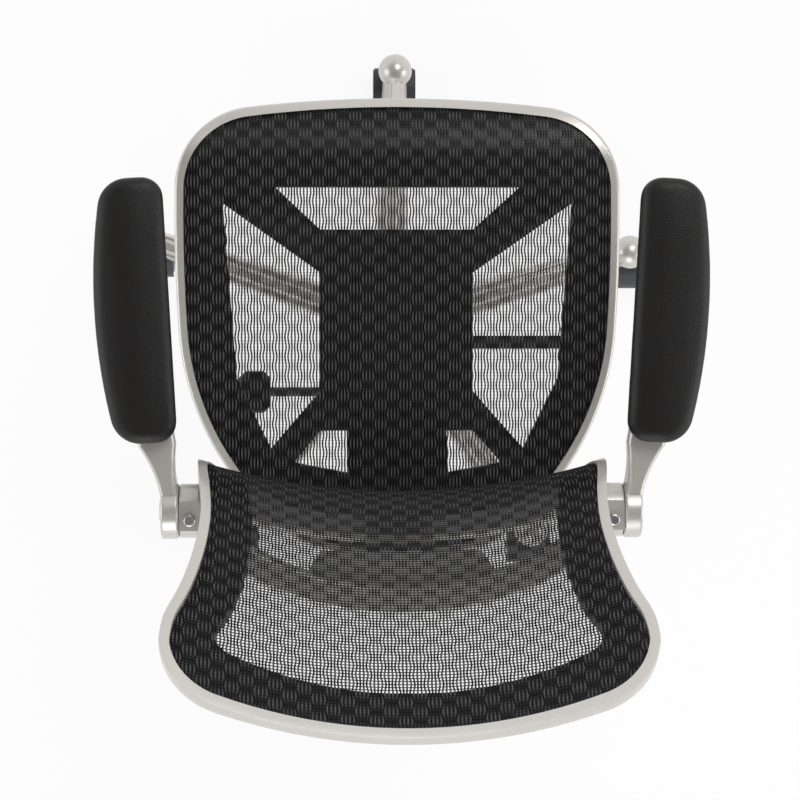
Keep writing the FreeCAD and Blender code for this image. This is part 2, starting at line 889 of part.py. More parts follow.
bolt_hole = new_sketch(mechanism_housing, "XY_Plane", housing_base)
draw_circle(bolt_hole, 0, -size.spring_forward, size.bolt_diameter + 2 * size.running_play)
pocket(mechanism_housing, bolt_hole, size.housing_floor)

lug_outer = housing_half + size.lug_gap + size.lug_thickness
tilt_pin = doc.addObject("Part::Cylinder", "tilt_pin")
bind(tilt_pin, "Radius", size.tilt_pin_diameter / 2)
bind(tilt_pin, "Height", 2 * (lug_outer + size.tilt_pin_end))
tilt_pin.Placement = Placement(
    point(-lug_outer - size.tilt_pin_end, -size.tilt_pin_forward, pin_level),
    Rotation(Vector(0, 1, 0), 90),
)
nodes.append(tilt_pin)

# Tension spring on the tub's floor, its knob below and the bolt through both
spring_bottom = housing_floor_top + size.rest_gap + size.spring_wire / 2
spring_top = plate_level - size.rest_gap - size.spring_wire / 2


def helix_point(turns):
    """Point on the spring's centre line after a number of turns."""
    radius = float(size.spring_mean_diameter) / 2
    share = turns / float(size.spring_turns)
    height = float(spring_bottom) + share * (float(spring_top) - float(spring_bottom))
    swing = 2 * math.pi * turns
    across = radius * math.cos(swing)
    along = radius * math.sin(swing) - float(size.spring_forward)
    return Vector(across, along, height)


def make_spring():
    """One unbroken coil, swept along quarter-turn arcs."""
    quarters = int(round(4 * float(size.spring_turns)))
    arcs = []
    for step in range(quarters):
        arc = Part.Arc(helix_point(step / 4), helix_point((step + 0.5) / 4), helix_point((step + 1) / 4))
        arcs.append(arc.toShape())
    path = Part.Wire(arcs)
    start = arcs[0].tangentAt(arcs[0].FirstParameter)
    section = Part.Wire([Part.makeCircle(float(size.spring_wire) / 2, helix_point(0), start)])
    pitch = (float(spring_top) - float(spring_bottom)) / float(size.spring_turns)
    print(f"tension spring: least gap between turns {pitch - float(size.spring_wire):.2f} mm")
    return path.makePipeShell([section], True, False)


new_solid("tension_spring", make_spring())

knob_top = housing_base - size.rest_gap
knob_radius = size.knob_diameter / 2
tension_knob = turned_solid("tension_knob", [
    (size.bolt_diameter / 2, knob_top - size.knob_height),
    (knob_radius - size.wheel_round, knob_top - size.knob_height),
    (knob_radius, knob_top - size.knob_height + size.wheel_round),
    (knob_radius, knob_top - size.knob_height / 4),
    (size.bolt_diameter, knob_top),
    (size.bolt_diameter / 2, knob_top),
])
grip = new_sketch(tension_knob, "XY_Plane", knob_top - size.knob_height)
draw_circle(grip, knob_radius + size.knob_grip_diameter / 4, 0, size.knob_grip_diameter)
grip_cut = pocket(tension_knob, grip, size.knob_height)
pattern_round(tension_knob, [grip_cut], size.knob_grip_count)
tension_knob.Placement.Base = point(0, -size.spring_forward, 0)
tension_bolt = doc.addObject("Part::Cylinder", "tension_bolt")
bind(tension_bolt, "Radius", size.bolt_diameter / 2)
bind(tension_bolt, "Height", bolt_level - knob_top + size.knob_height)
tension_bolt.Placement.Base = point(0, -size.spring_forward, knob_top - size.knob_height)
nodes.append(tension_bolt)

# Height lever on the sitter's right: flat bar with a tongue over the valve pin, and its paddle
height_lever = new_body("height_lever")
bar = new_sketch(height_lever, "XY_Plane", lever_bottom)
tongue_end = size.tongue_width / 2
draw_outline(bar, [
    (tongue_end, -tongue_end),
    (tongue_end, size.height_lever_back + lever_side),
    (-size.height_lever_reach, size.height_lever_back + lever_side),
    (-size.height_lever_reach, size.height_lever_back - lever_side),
    (-size.tongue_length, size.height_lever_back - lever_side),
    (size.tongue_width - size.tongue_length, -tongue_end),
])
pad(height_lever, bar, size.height_lever_thickness)
pivot_bore = new_sketch(height_lever, "XZ_Plane", -size.height_lever_back - lever_side)
draw_circle(pivot_bore, pivot_across, pivot_height, size.height_pivot_diameter + 2 * size.running_play)
pocket(height_lever, pivot_bore, size.height_lever_width)


def make_paddle(label, inner, slot_width, slot_height):
    """A moulded finger paddle along local +X, with a slot that takes the end of its lever."""
    body = new_body(label)
    half = size.paddle_width / 2
    cover = new_sketch(body, "XY_Plane", -size.paddle_thickness / 2)
    round_cut = size.paddle_round * 2
    draw_outline(cover, [
        (inner, -half + round_cut),
        (inner + round_cut, -half),
        (inner + size.paddle_length - round_cut, -half),
        (inner + size.paddle_length, -half + round_cut),
        (inner + size.paddle_length, half - round_cut),
        (inner + size.paddle_length - round_cut, half),
        (inner + round_cut, half),
        (inner, half - round_cut),
    ])
    cover_pad = pad(body, cover, size.paddle_thickness)
    slab = float(size.paddle_thickness) / 2
    soft = round_edges(body, cover_pad, size.paddle_round, lambda edge: abs(middle(edge).z) > slab - 0.01)
    body.Tip = soft
    slot = new_sketch(body, "YZ_Plane", inner)
    draw_box(slot, -slot_width / 2, slot_width / 2, -slot_height / 2, slot_height / 2)
    pocket(body, slot, size.paddle_length - size.paddle_cap)
    return body


paddle_inner = size.height_lever_reach - size.paddle_length + size.paddle_cap
height_paddle = make_paddle(
    "height_paddle", paddle_inner, size.height_lever_width, size.height_lever_thickness
)
height_paddle.Placement = Placement(
    point(0, size.height_lever_back, lever_bottom + size.height_lever_thickness / 2),
    Rotation(Vector(0, 0, 1), 180),
)

# Tilt lock lever on the sitter's left: round rod with a cam inside the tub, and its paddle
lock_paddle_inner = size.lock_lever_reach - size.paddle_length + size.paddle_cap
lock_flat = size.lock_lever_diameter * 0.7
tilt_lock_lever = new_body("tilt_lock_lever")
rod_sketch = new_sketch(tilt_lock_lever, "YZ_Plane", size.lock_lever_inner)
draw_circle(rod_sketch, 0, 0, size.lock_lever_diameter)
pad(tilt_lock_lever, rod_sketch, lock_paddle_inner - size.lock_lever_inner)
flat_end = new_sketch(tilt_lock_lever, "YZ_Plane", lock_paddle_inner)
draw_box(flat_end, -lock_flat / 2, lock_flat / 2, -lock_flat / 2, lock_flat / 2)
pad(tilt_lock_lever, flat_end, size.paddle_length - size.paddle_cap)
cam = new_sketch(tilt_lock_lever, "YZ_Plane", size.lock_lever_inner)
cam_half = size.lock_lever_diameter / 2
draw_box(cam, -size.lock_cam_height, 0, -cam_half / 2, cam_half / 2)
pad(tilt_lock_lever, cam, size.lock_cam_length)
lock_place = point(0, size.lock_lever_back, lock_level)
tilt_lock_lever.Placement.Base = lock_place
make_paddle("tilt_lock_paddle", lock_paddle_inner, lock_flat, lock_flat).Placement.Base = lock_place

# Tilt plate: folded steel plate that carries the seat, with a lug down each side to the tilt pin
tilt_plate = new_body("tilt_plate")
plate_top = plate_level + size.plate_thickness
sheet_sketch = new_sketch(tilt_plate, "XY_Plane", plate_level)
draw_box(sheet_sketch, -lug_outer, lug_outer, -size.plate_front, size.plate_rear)
pad(tilt_plate, sheet_sketch, size.plate_thickness)
lug_low = pin_level - size.lug_drop
for lug_face in (-lug_outer, lug_outer - size.lug_thickness):
    lug = new_sketch(tilt_plate, "YZ_Plane", lug_face)
    draw_outline(lug, [
        (-size.tilt_pin_forward - size.lug_half_length, plate_level),
        (-size.tilt_pin_forward - size.lug_half_length / 2, lug_low),
        (-size.tilt_pin_forward + size.lug_half_length / 2, lug_low),
        (-size.tilt_pin_forward + size.lug_half_length, plate_level),
    ])
    pad(tilt_plate, lug, size.lug_thickness)
lug_bore = new_sketch(tilt_plate, "YZ_Plane", -lug_outer)
pin_bore = size.tilt_pin_diameter + 2 * size.running_play
draw_circle(lug_bore, -size.tilt_pin_forward, pin_level, pin_bore)
pocket(tilt_plate, lug_bore, 2 * lug_outer)
seat_bolt_rows = [-size.seat_bolt_front, size.seat_bolt_back]
seat_bolt_sides = [-size.seat_bolt_half_spread, size.seat_bolt_half_spread]
plate_holes = new_sketch(tilt_plate, "XY_Plane", plate_level)
for bolt_row in seat_bolt_rows:
    for bolt_side in seat_bolt_sides:
        draw_circle(plate_holes, bolt_side, bolt_row, size.seat_bolt_diameter)
pocket(tilt_plate, plate_holes, size.plate_thickness)

# Seat: every layer is a strip of the side view, cut to an outline of the top view
seat_half = float(size.seat_width) / 2


def seat_slab(top, bottom):
    """Side-view strip of the seat between two offsets from the mesh surface, across the whole width."""
    height = float(size.seat_height)
    bend = Vector(0, float(size.waterfall_length) - float(size.seat_front), height)
    bend_centre = bend - point(0, 0, size.waterfall_radius)
    rise = point(0, size.seat_flat_back, height)
    rise_centre = rise + point(0, 0, size.seat_rise_radius)
    full_bend = math.asin(float(size.waterfall_length) / float(size.waterfall_radius)) * 1.3
    rise_length = float(size.seat_rear) - float(size.seat_flat_back)
    full_rise = math.asin(rise_length / float(size.seat_rise_radius)) * 1.3

    def bend_point(offset, share):
        turn = full_bend * share
        reach = float(size.waterfall_radius) + float(offset)
        return bend_centre + Vector(0, -reach * math.sin(turn), reach * math.cos(turn))

    def rise_point(offset, share):
        turn = full_rise * share
        reach = float(size.seat_rise_radius) - float(offset)
        return rise_centre + Vector(0, reach * math.sin(turn), -reach * math.cos(turn))

    strip = wire(
        Part.Arc(bend_point(top, 1), bend_point(top, 0.5), bend_point(top, 0)),
        Part.LineSegment(bend_point(top, 0), rise_point(top, 0)),
        Part.Arc(rise_point(top, 0), rise_point(top, 0.5), rise_point(top, 1)),
        Part.LineSegment(rise_point(top, 1), rise_point(bottom, 1)),
        Part.Arc(rise_point(bottom, 1), rise_point(bottom, 0.5), rise_point(bottom, 0)),
        Part.LineSegment(rise_point(bottom, 0), bend_point(bottom, 0)),
        Part.Arc(bend_point(bottom, 0), bend_point(bottom, 0.5), bend_point(bottom, 1)),
        Part.LineSegment(bend_point(bottom, 1), bend_point(top, 1)),
    )
    slab = Part.Face(strip).extrude(Vector(2.4 * seat_half, 0, 0))
    slab.translate(Vector(-1.2 * seat_half, 0, 0))
    return slab


def seat_prism(inset):
    """Upright prism of the seat's top-view outline, drawn in all round by the inset."""
    inset = float(inset)
    side_radius = float(size.seat_side_radius)
    haunch_radius = float(size.seat_haunch_radius)
    widest = -float(size.seat_widest_forward)
    side_centre = Vector(seat_half - side_radius, widest, 0)
    haunch_turn = math.asin((-float(size.seat_haunch_forward) - widest) / side_radius)
    haunch_way = Vector(math.cos(haunch_turn), math.sin(haunch_turn), 0)
    haunch_centre = side_centre + haunch_way * (side_radius - haunch_radius)
    haunch_start = side_centre + haunch_way * (side_radius - inset)

    def arc_point(centre, radius, along):
        across = math.sqrt((radius - inset) ** 2 - (along - centre.y) ** 2)
        return Vector(centre.x + across, along, 0)

    front = inset - float(size.seat_front)
    rear = float(size.seat_rear) - inset
    front_corner = arc_point(side_centre, side_radius, front + float(size.seat_front_bow))
    rear_corner = arc_point(haunch_centre, haunch_radius, rear - float(size.seat_rear_bow))
    widest_point = arc_point(side_centre, side_radius, widest)
    haunch_middle = arc_point(haunch_centre, haunch_radius, (haunch_start.y + rear_corner.y) / 2)

    def other(place):
        return Vector(-place.x, place.y, place.z)

    outline = wire(
        Part.Arc(other(front_corner), Vector(0, front, 0), front_corner),
        Part.Arc(front_corner, widest_point, haunch_start),
        Part.Arc(haunch_start, haunch_middle, rear_corner),
        Part.Arc(rear_corner, Vector(0, rear, 0), other(rear_corner)),
        Part.Arc(other(rear_corner), other(haunch_middle), other(haunch_start)),
        Part.Arc(other(haunch_start), other(widest_point), other(front_corner)),
    )
    solid = Part.Face(outline).extrude(point(0, 0, 2 * size.seat_height))

    def corner_edges(shape, along):
        upright = [edge for edge in shape.Edges if abs(edge.tangentAt(edge.FirstParameter).z) > 0.99]
        return [edge for edge in upright if abs(middle(edge).y - along) < 0.1]

    solid = solid.makeFillet(float(size.seat_front_corner) - inset, corner_edges(solid, front_corner.y))
    return solid.makeFillet(float(size.seat_rear_corner) - inset, corner_edges(solid, rear_corner.y))


rim_outer = seat_prism(0)
rim_inner = seat_prism(size.seat_rim_width)
rim_slab = seat_slab(size.seat_rim_proud, size.seat_rim_proud - size.seat_rim_depth)
seat_rim = rim_outer.common(rim_slab).cut(rim_inner)
rim_shell = rim_outer.Shells[0]
rim_crest = seat_slab(size.seat_rim_proud, 0).Shells[0]
seat_rim = soften(
    seat_rim, size.seat_rim_round, lambda edge: lies_on(edge, rim_shell) and lies_on(edge, rim_crest)
)
new_solid("seat_frame", seat_rim)

mesh_inset = size.seat_rim_width + size.rest_gap
seat_sheet = seat_prism(mesh_inset).common(seat_slab(0, -size.mesh_thickness))


def slotted(sheet, inner, low, high, spot):
    """A woven sheet opened by slots along its warp, wherever all of a slot lies in the sheet's inner part."""
    pitch = float(size.slot_pitch)
    bar = float(size.slot_bar)
    row_pitch = (float(high) - float(low)) / int(float(size.slot_rows))
    row_bar = float(size.slot_row_bar)
    columns = int(inner.BoundBox.XMax / pitch) + 1
    slots = []
    for column in range(-columns, columns):
        sides = (column * pitch + bar / 2, (column + 1) * pitch - bar / 2)
        for row in range(int(float(size.slot_rows))):
            start = float(low) + row * row_pitch
            ends = (start + row_bar / 2, start + row_pitch - row_bar / 2)
            rays = [Part.makeLine(spot(side, end, 0), spot(side, end, 1)) for side in sides for end in ends]
            if all(ray.common(inner).Edges for ray in rays):
                slots.append(block(spot(sides[0], ends[0], 0), spot(sides[1], ends[1], 1)))
    return sheet.cut(slots)


seat_core = seat_prism(mesh_inset + size.slot_margin).common(seat_sheet)


def seat_ray(across, back, share):
    """Point a share of the way up an upright line through the seat."""
    return Vector(across, back, share * 2 * float(size.seat_height))


new_solid("seat_mesh", slotted(seat_sheet, seat_core, -size.seat_front, size.seat_rear, seat_ray))

# Seat pan: edge ring under the mesh, four sloping struts and the lower centre plate, moulded in one
ring_top = -size.mesh_thickness - size.rest_gap
pan_bottom = float(plate_top)
ring_low = float(size.seat_height + ring_top - size.seat_ring_thickness)


def pan_rectangle(half, front, rear, height):
    """Level rectangle of the pan's funnel."""
    half = float(half)
    return polygon_wire([
        Vector(-half, -float(front), height),
        Vector(half, -float(front), height),
        Vector(half, float(rear), height),
        Vector(-half, float(rear), height),
    ])


funnel_top = ring_low + float(size.seat_ring_thickness) / 2
funnel = Part.makeLoft([
    pan_rectangle(size.pan_half_width, size.pan_front, size.pan_rear, pan_bottom),
    pan_rectangle(size.pan_ring_half_width, size.pan_ring_front, size.pan_ring_rear, funnel_top),
], True, True)
funnel_cut = funnel.copy()
funnel_cut.translate(point(0, 0, size.pan_wall))
funnel_shell = funnel.cut(funnel_cut).common(seat_prism(mesh_inset))
ring_opening = block(
    point(-size.pan_ring_half_width + size.pan_wall, -size.pan_ring_front + size.pan_wall, pan_bottom),
    point(size.pan_ring_half_width - size.pan_wall, size.pan_ring_rear - size.pan_wall, 2 * size.seat_height),
)
pan_ring = seat_prism(mesh_inset).common(seat_slab(ring_top, ring_top - size.seat_ring_thickness))
seat_pan = pan_ring.cut(ring_opening).fuse(funnel_shell)


def pan_window(corners):
    """Upright prism through the pan over a list of top-view corners."""
    return prism([point(x, y, housing_base) for x, y in corners], point(0, 0, size.seat_height))


front_window = pan_window([
    (size.front_window_outer_half, -size.pan_ring_front),
    (size.pan_half_width, -size.pan_front),
    (-size.pan_half_width, -size.pan_front),
    (-size.front_window_outer_half, -size.pan_ring_front),
])
side_window = pan_window([
    (size.pan_ring_half_width, -size.side_window_front_outer),
    (size.pan_half_width, -size.side_window_front_inner),
    (size.pan_half_width, size.side_window_rear_inner),
    (size.side_window_rear_half, size.side_window_rear),
    (size.side_window_bend_half, size.side_window_bend),
])
rear_window = pan_window([
    (size.rear_window_inner_half, size.pan_rear),
    (size.pan_half_width, size.pan_rear),
    (size.rear_window_outer_half, size.rear_window_corner),
    (size.rear_window_inner_half, size.pan_ring_rear),
])
seat_pan = seat_pan.cut(front_window)
for window in (side_window, rear_window):
    seat_pan = seat_pan.cut([window, mirror_left_right(window)])


def bolt_places(rows, half_spread):
    """Bolt centres: two sides by the given rows, front to back."""
    return [(side, row) for row in rows for side in (-float(half_spread), float(half_spread))]


def upward_bolt(place, head_bottom, head_diameter, head_height, shank_diameter, shank_top):
    """A bolt from below: round head under the sheet and a shank up through it."""
    across, along = place
    head = drum(point(across, along, head_bottom), point(0, 0, head_height), head_diameter)
    shank = drum(point(across, along, head_bottom), point(0, 0, shank_top - head_bottom), shank_diameter)
    return head.fuse(shank)


bolt_end = plate_top + size.pan_wall - size.rest_gap
seat_bolts = [
    upward_bolt(
        place,
        plate_level - size.seat_bolt_head_height,
        size.seat_bolt_head,
        size.seat_bolt_head_height,
        size.seat_bolt_diameter,
        bolt_end,
    )
    for place in bolt_places(seat_bolt_rows, size.seat_bolt_half_spread)
]
spine_low = plate_top - size.spine_thickness
back_bolt_rows = [size.back_bolt_front, size.back_bolt_back]
back_bolts = [
    upward_bolt(
        place,
        spine_low - size.back_bolt_head_height,
        size.back_bolt_head,
        size.back_bolt_head_height,
        size.back_bolt_diameter,
        bolt_end,
    )
    for place in bolt_places(back_bolt_rows, size.back_bolt_half_spread)
]
new_solid("seat_pan", seat_pan.cut(seat_bolts + back_bolts).removeSplitter())
new_solid("seat_bolts", Part.makeCompound(seat_bolts))
new_solid("back_bolts", Part.makeCompound(back_bolts))

# Back rest: every layer is a strip of the side view turned about an upright axis in front of the sitter,
# cut to an outline of the front view
lumbar_level = size.seat_height + size.lumbar_height
back_low = size.seat_height + size.back_bottom
waist_level = size.seat_height + size.back_waist_height
flare_level = size.seat_height + size.back_flare_height
shoulder_level = size.seat_height + size.back_shoulder_height
hinge_level = size.seat_height + size.hinge_height
pad_low = size.seat_height + size.pad_bottom
lumbar = point(0, size.lumbar_back, lumbar_level)
lower_turn = math.radians(float(size.lumbar_lower_turn))
upper_turn = math.radians(float(size.lumbar_upper_turn))
top_turn = upper_turn + math.radians(float(size.upper_back_turn))


def back_normal(lean):
    """Direction out of the front of the back where it leans back by an angle."""
    return Vector(0, -math.cos(lean), math.sin(lean))


lumbar_centre = lumbar - back_normal(0) * float(size.lumbar_radius)
upper_start = lumbar_centre + back_normal(upper_turn) * float(size.lumbar_radius)
upper_centre = upper_start - back_normal(upper_turn) * float(size.upper_back_radius)
lower_run = Vector(0, math.sin(lower_turn), -math.cos(lower_turn)) * float(size.lower_back_length)


def back_slab(front, rear):
    """Curved sheet of the back between two offsets from the mesh surface."""

    def lumbar_point(offset, lean):
        return lumbar_centre + back_normal(lean) * (float(size.lumbar_radius) + float(offset))

    def upper_point(offset, lean):
        return upper_centre + back_normal(lean) * (float(size.upper_back_radius) + float(offset))

    middle_turn = (upper_turn + top_turn) / 2
    foot_front = lumbar_point(front, -lower_turn) + lower_run
    foot_rear = lumbar_point(rear, -lower_turn) + lower_run
    strip = wire(
        Part.LineSegment(foot_front, lumbar_point(front, -lower_turn)),
        Part.Arc(lumbar_point(front, -lower_turn), lumbar_point(front, 0), lumbar_point(front, upper_turn)),
        Part.Arc(
            upper_point(front, upper_turn), upper_point(front, middle_turn), upper_point(front, top_turn)
        ),
        Part.LineSegment(upper_point(front, top_turn), upper_point(rear, top_turn)),
        Part.Arc(upper_point(rear, top_turn), upper_point(rear, middle_turn), upper_point(rear, upper_turn)),
        Part.Arc(lumbar_point(rear, upper_turn), lumbar_point(rear, 0), lumbar_point(rear, -lower_turn)),
        Part.LineSegment(lumbar_point(rear, -lower_turn), foot_rear),
        Part.LineSegment(foot_rear, foot_front),
    )
    axis_place = lumbar - point(0, size.back_curve_radius, 0)
    half_sweep = math.degrees(math.asin(float(size.back_shoulder_half) / float(size.back_curve_radius))) + 3
    face = Part.Face(strip)
    face.rotate(axis_place, Vector(0, 0, 1), -half_sweep)
    return face.revolve(axis_place, Vector(0, 0, 1), 2 * half_sweep)


top_lean = math.radians(float(size.back_top_turn))
top_edge = upper_centre + back_normal(top_lean) * float(size.upper_back_radius)
top_run = Vector(0, math.sin(top_lean), math.cos(top_lean))


def corner_edges_along(shape, direction, wanted):
    """Straight edges of a prism along a direction whose middle passes a test."""
    along = [edge for edge in shape.Edges if abs(edge.tangentAt(edge.FirstParameter).dot(direction)) > 0.99]
    return [edge for edge in along if wanted(middle(edge))]


def back_sides(inset):
    """Level prism of the front view up to the shoulders, drawn in by the inset, straight up above them."""
    inset = float(inset)
    depth = float(size.lumbar_back) - 2 * float(size.back_flange)
    low = float(back_low) + inset
    ceiling = 2 * float(shoulder_level)
    spots = [
        (size.back_bottom_half, low),
        (size.back_lumbar_half, lumbar_level),
        (size.back_waist_half, waist_level),
        (size.back_flare_half, flare_level),
        (size.back_shoulder_half, shoulder_level),
    ]

    def side_curve(sign):
        curve = Part.BSplineCurve()
        places = [Vector(sign * (float(across) - inset), depth, float(height)) for across, height in spots]
        slant = (places[1] - places[0]).normalize()
        curve.interpolate(Points=places, InitialTangent=slant, FinalTangent=Vector(0, 0, 1))
        return curve.toShape()

    foot = float(size.back_bottom_half) - inset
    bottom_bow = float(size.back_rim_width)
    shoulder = float(size.back_shoulder_half) - inset
    height = float(shoulder_level)
    edges = [
        side_curve(1),
        side_curve(-1),
        Part.Arc(
            Vector(-foot, depth, low), Vector(0, depth, low - bottom_bow), Vector(foot, depth, low)
        ).toShape(),
        Part.makeLine(Vector(shoulder, depth, height), Vector(shoulder, depth, ceiling)),
        Part.makeLine(Vector(-shoulder, depth, height), Vector(-shoulder, depth, ceiling)),
        Part.makeLine(Vector(shoulder, depth, ceiling), Vector(-shoulder, depth, ceiling)),
    ]
    outline = Part.Wire(Part.sortEdges(edges)[0])
    solid = Part.Face(outline).extrude(Vector(0, 2 * float(size.back_shoulder_half), 0))
    corners = corner_edges_along(solid, Vector(0, 1, 0), lambda place: abs(place.z - low) < 0.1)
    return solid.makeFillet(max(float(size.back_bottom_corner) - inset, float(size.back_rim_width)), corners)


def back_head(inset, corner):
    """Prism square to the leaning top of the back: bowed top edge, round corners, straight sides."""
    inset = float(inset)
    half = float(size.back_shoulder_half) - inset
    crest = top_edge - top_run * inset - back_normal(top_lean) * float(size.back_shoulder_half)
    drop = crest - top_run * float(size.back_top_bow)
    foot = crest - top_run * float(shoulder_level)
    across = Vector(half, 0, 0)
    outline = wire(
        Part.Arc(drop + across, crest, drop - across),
        Part.LineSegment(drop - across, foot - across),
        Part.LineSegment(foot - across, foot + across),
        Part.LineSegment(foot + across, drop + across),
    )
    way = back_normal(top_lean)
    solid = Part.Face(outline).extrude(way * (3 * float(size.back_shoulder_half)))
    corners = corner_edges_along(solid, way, lambda place: (place - drop).dot(top_run) > -1)
    return solid.makeFillet(float(corner), corners)


def back_prism(inset, corner):
    """Outline of the back drawn in by the inset: sides and bottom seen level, top seen square to its lean."""
    return back_sides(inset).common(back_head(inset, corner))


back_outer = back_prism(0, size.back_top_corner)
back_inner = back_prism(size.back_rim_width, size.back_top_corner - size.back_rim_width)
back_rim_slab = back_slab(size.back_rim_proud, size.back_rim_proud - size.back_rim_depth)
back_rim = back_outer.common(back_rim_slab).cut(back_inner)
new_solid("back_frame", back_rim)

back_mesh_inset = size.back_rim_width + size.rest_gap
back_mesh_prism = back_prism(back_mesh_inset, size.back_top_corner - back_mesh_inset)
back_sheet = back_mesh_prism.common(back_slab(0, -size.mesh_thickness))
core_inset = back_mesh_inset + size.slot_margin
back_core = back_prism(core_inset, size.back_top_corner - core_inset).common(back_sheet)


def back_ray(across, height, share):
    """Point a share of the way along a level line through the back."""
    return Vector(across, share * 2 * float(size.spine_back), height)


new_solid("back_mesh", slotted(back_sheet, back_core, back_low, back_core.BoundBox.ZMax, back_ray))
flange_front = -size.mesh_thickness - size.rest_gap
flange_rear = flange_front - size.back_flange_thickness
back_window = back_prism(size.back_rim_width + size.back_flange, size.back_window_corner)
new_solid("back_inner_frame", back_mesh_prism.common(back_slab(flange_front, flange_rear)).cut(back_window))

# Back support: flat spine from under the pan, bent up behind the seat, and the yoke to the arm hinges
spine_half = float(size.spine_width) / 2
bend_centre = point(0, size.spine_back - size.spine_bend_radius, spine_low + size.spine_thickness / 2)
bend_centre = bend_centre + point(0, 0, size.spine_bend_radius)


def spine_side(offset):
    """One face line of the spine in the side view: start, bend and head, offset from its middle line."""
    reach = float(size.spine_bend_radius) + offset
    diagonal = reach * math.sqrt(0.5)
    start = point(0, size.spine_start, bend_centre.z - reach)
    bend_start = bend_centre + Vector(0, 0, -reach)
    bend_middle = bend_centre + Vector(0, diagonal, -diagonal)
    bend_end = bend_centre + Vector(0, reach, 0)
    head = point(0, bend_end.y + float(size.spine_lean), hinge_level)
    return start, bend_start, bend_middle, bend_end, head


outer_line = spine_side(float(size.spine_thickness) / 2)
inner_line = spine_side(-float(size.spine_thickness) / 2)
spine_strip = wire(
    Part.LineSegment(outer_line[0], outer_line[1]),
    Part.Arc(*outer_line[1:4]),
    Part.LineSegment(outer_line[3], outer_line[4]),
    Part.LineSegment(outer_line[4], inner_line[4]),
    Part.LineSegment(inner_line[4], inner_line[3]),
    Part.Arc(*reversed(inner_line[1:4])),
    Part.LineSegment(inner_line[1], inner_line[0]),
    Part.LineSegment(inner_line[0], outer_line[0]),
)
spine = Part.Face(spine_strip).extrude(point(size.spine_width, 0, 0))
spine.translate(point(-spine_half, 0, 0))

yoke_bottom = hinge_level - size.yoke_height / 2
yoke_centre = point(0, size.yoke_back - size.yoke_radius, yoke_bottom)
yoke_turn = float(size.yoke_half_sweep)


def yoke_sector(radius):
    """Sector of a disc, open towards the sitter."""
    sector = Part.makeCylinder(
        float(radius), float(size.yoke_height), yoke_centre, Vector(0, 0, 1), 2 * yoke_turn
    )
    sector.rotate(yoke_centre, Vector(0, 0, 1), 90 - yoke_turn)
    return sector


yoke_arc = yoke_sector(size.yoke_radius + size.yoke_depth / 2).cut(
    drum(yoke_centre, point(0, 0, size.yoke_height), 2 * size.yoke_radius - size.yoke_depth)
)


def is_long_and_level(edge):
    """Whether an edge runs level along the yoke and is no short end."""
    return abs(edge.tangentAt(edge.FirstParameter).z) < 0.01 and edge.Length > float(size.yoke_depth)


yoke_arc = soften(yoke_arc, size.yoke_round, is_long_and_level)
lug_half = size.yoke_lug_height / 2
yoke_lug = block(
    point(size.yoke_lug_inner, size.lumbar_back - size.back_flange, hinge_level - lug_half),
    point(size.yoke_lug_outer, size.hinge_back + lug_half / 2, hinge_level + lug_half),
)
yoke_end_inner = size.bracket_inner - size.yoke_end_width
yoke_end = block(
    point(yoke_end_inner, size.hinge_back - lug_half, hinge_level - lug_half),
    point(size.bracket_inner, size.hinge_back + size.yoke_end_back, hinge_level + lug_half),
)
back_clear = back_slab(size.back_flange * 2, flange_rear - size.rest_gap)
yoke_side = yoke_lug.cut(back_clear).fuse(yoke_end)
hinge_hole = drum(
    point(yoke_end_inner, size.hinge_back, hinge_level),
    point(size.yoke_radius, 0, 0),
    size.hinge_pin_diameter,
)
yoke_side = yoke_side.cut(hinge_hole)
web_low = hinge_level - size.yoke_web_thickness / 2
web_corners = [
    point(-size.yoke_web_front_half, size.yoke_web_front, web_low),
    point(size.yoke_web_front_half, size.yoke_web_front, web_low),
    point(size.yoke_web_rear_half, size.yoke_back - size.yoke_depth / 2, web_low),
    point(-size.yoke_web_rear_half, size.yoke_back - size.yoke_depth / 2, web_low),
]
yoke_web = Part.Face(polygon_wire(web_corners)).extrude(point(0, 0, size.yoke_web_thickness))
back_support = spine.fuse([yoke_arc, yoke_web, yoke_side, mirror_left_right(yoke_side)])
back_support = back_support.cut([hinge_hole, mirror_left_right(hinge_hole)] + back_bolts)
new_solid("back_support", back_support.removeSplitter())

# Arm hinges: bracket on each end of the yoke, hinge pin with a cap, and the bracket's screw
bracket_outer = size.bracket_inner + size.bracket_thickness
knuckle_inner = bracket_outer + size.knuckle_gap
knuckle_outer = knuckle_inner + size.knuckle_thickness
bracket_radius = size.bracket_diameter / 2
screw_seat = hinge_level + bracket_radius - size.bracket_round


def hinge_drum(inner, outer, diameter):
    """A cylinder along the hinge axis on the sitter's left."""
    return drum(point(inner, size.hinge_back, hinge_level), point(outer - inner, 0, 0), diameter)


def end_circles(edge):
    """Whether an edge is a full circle about the hinge axis."""
    return edge.Closed and abs(edge.Curve.Axis.x) > 0.99 if hasattr(edge.Curve, "Axis") else False


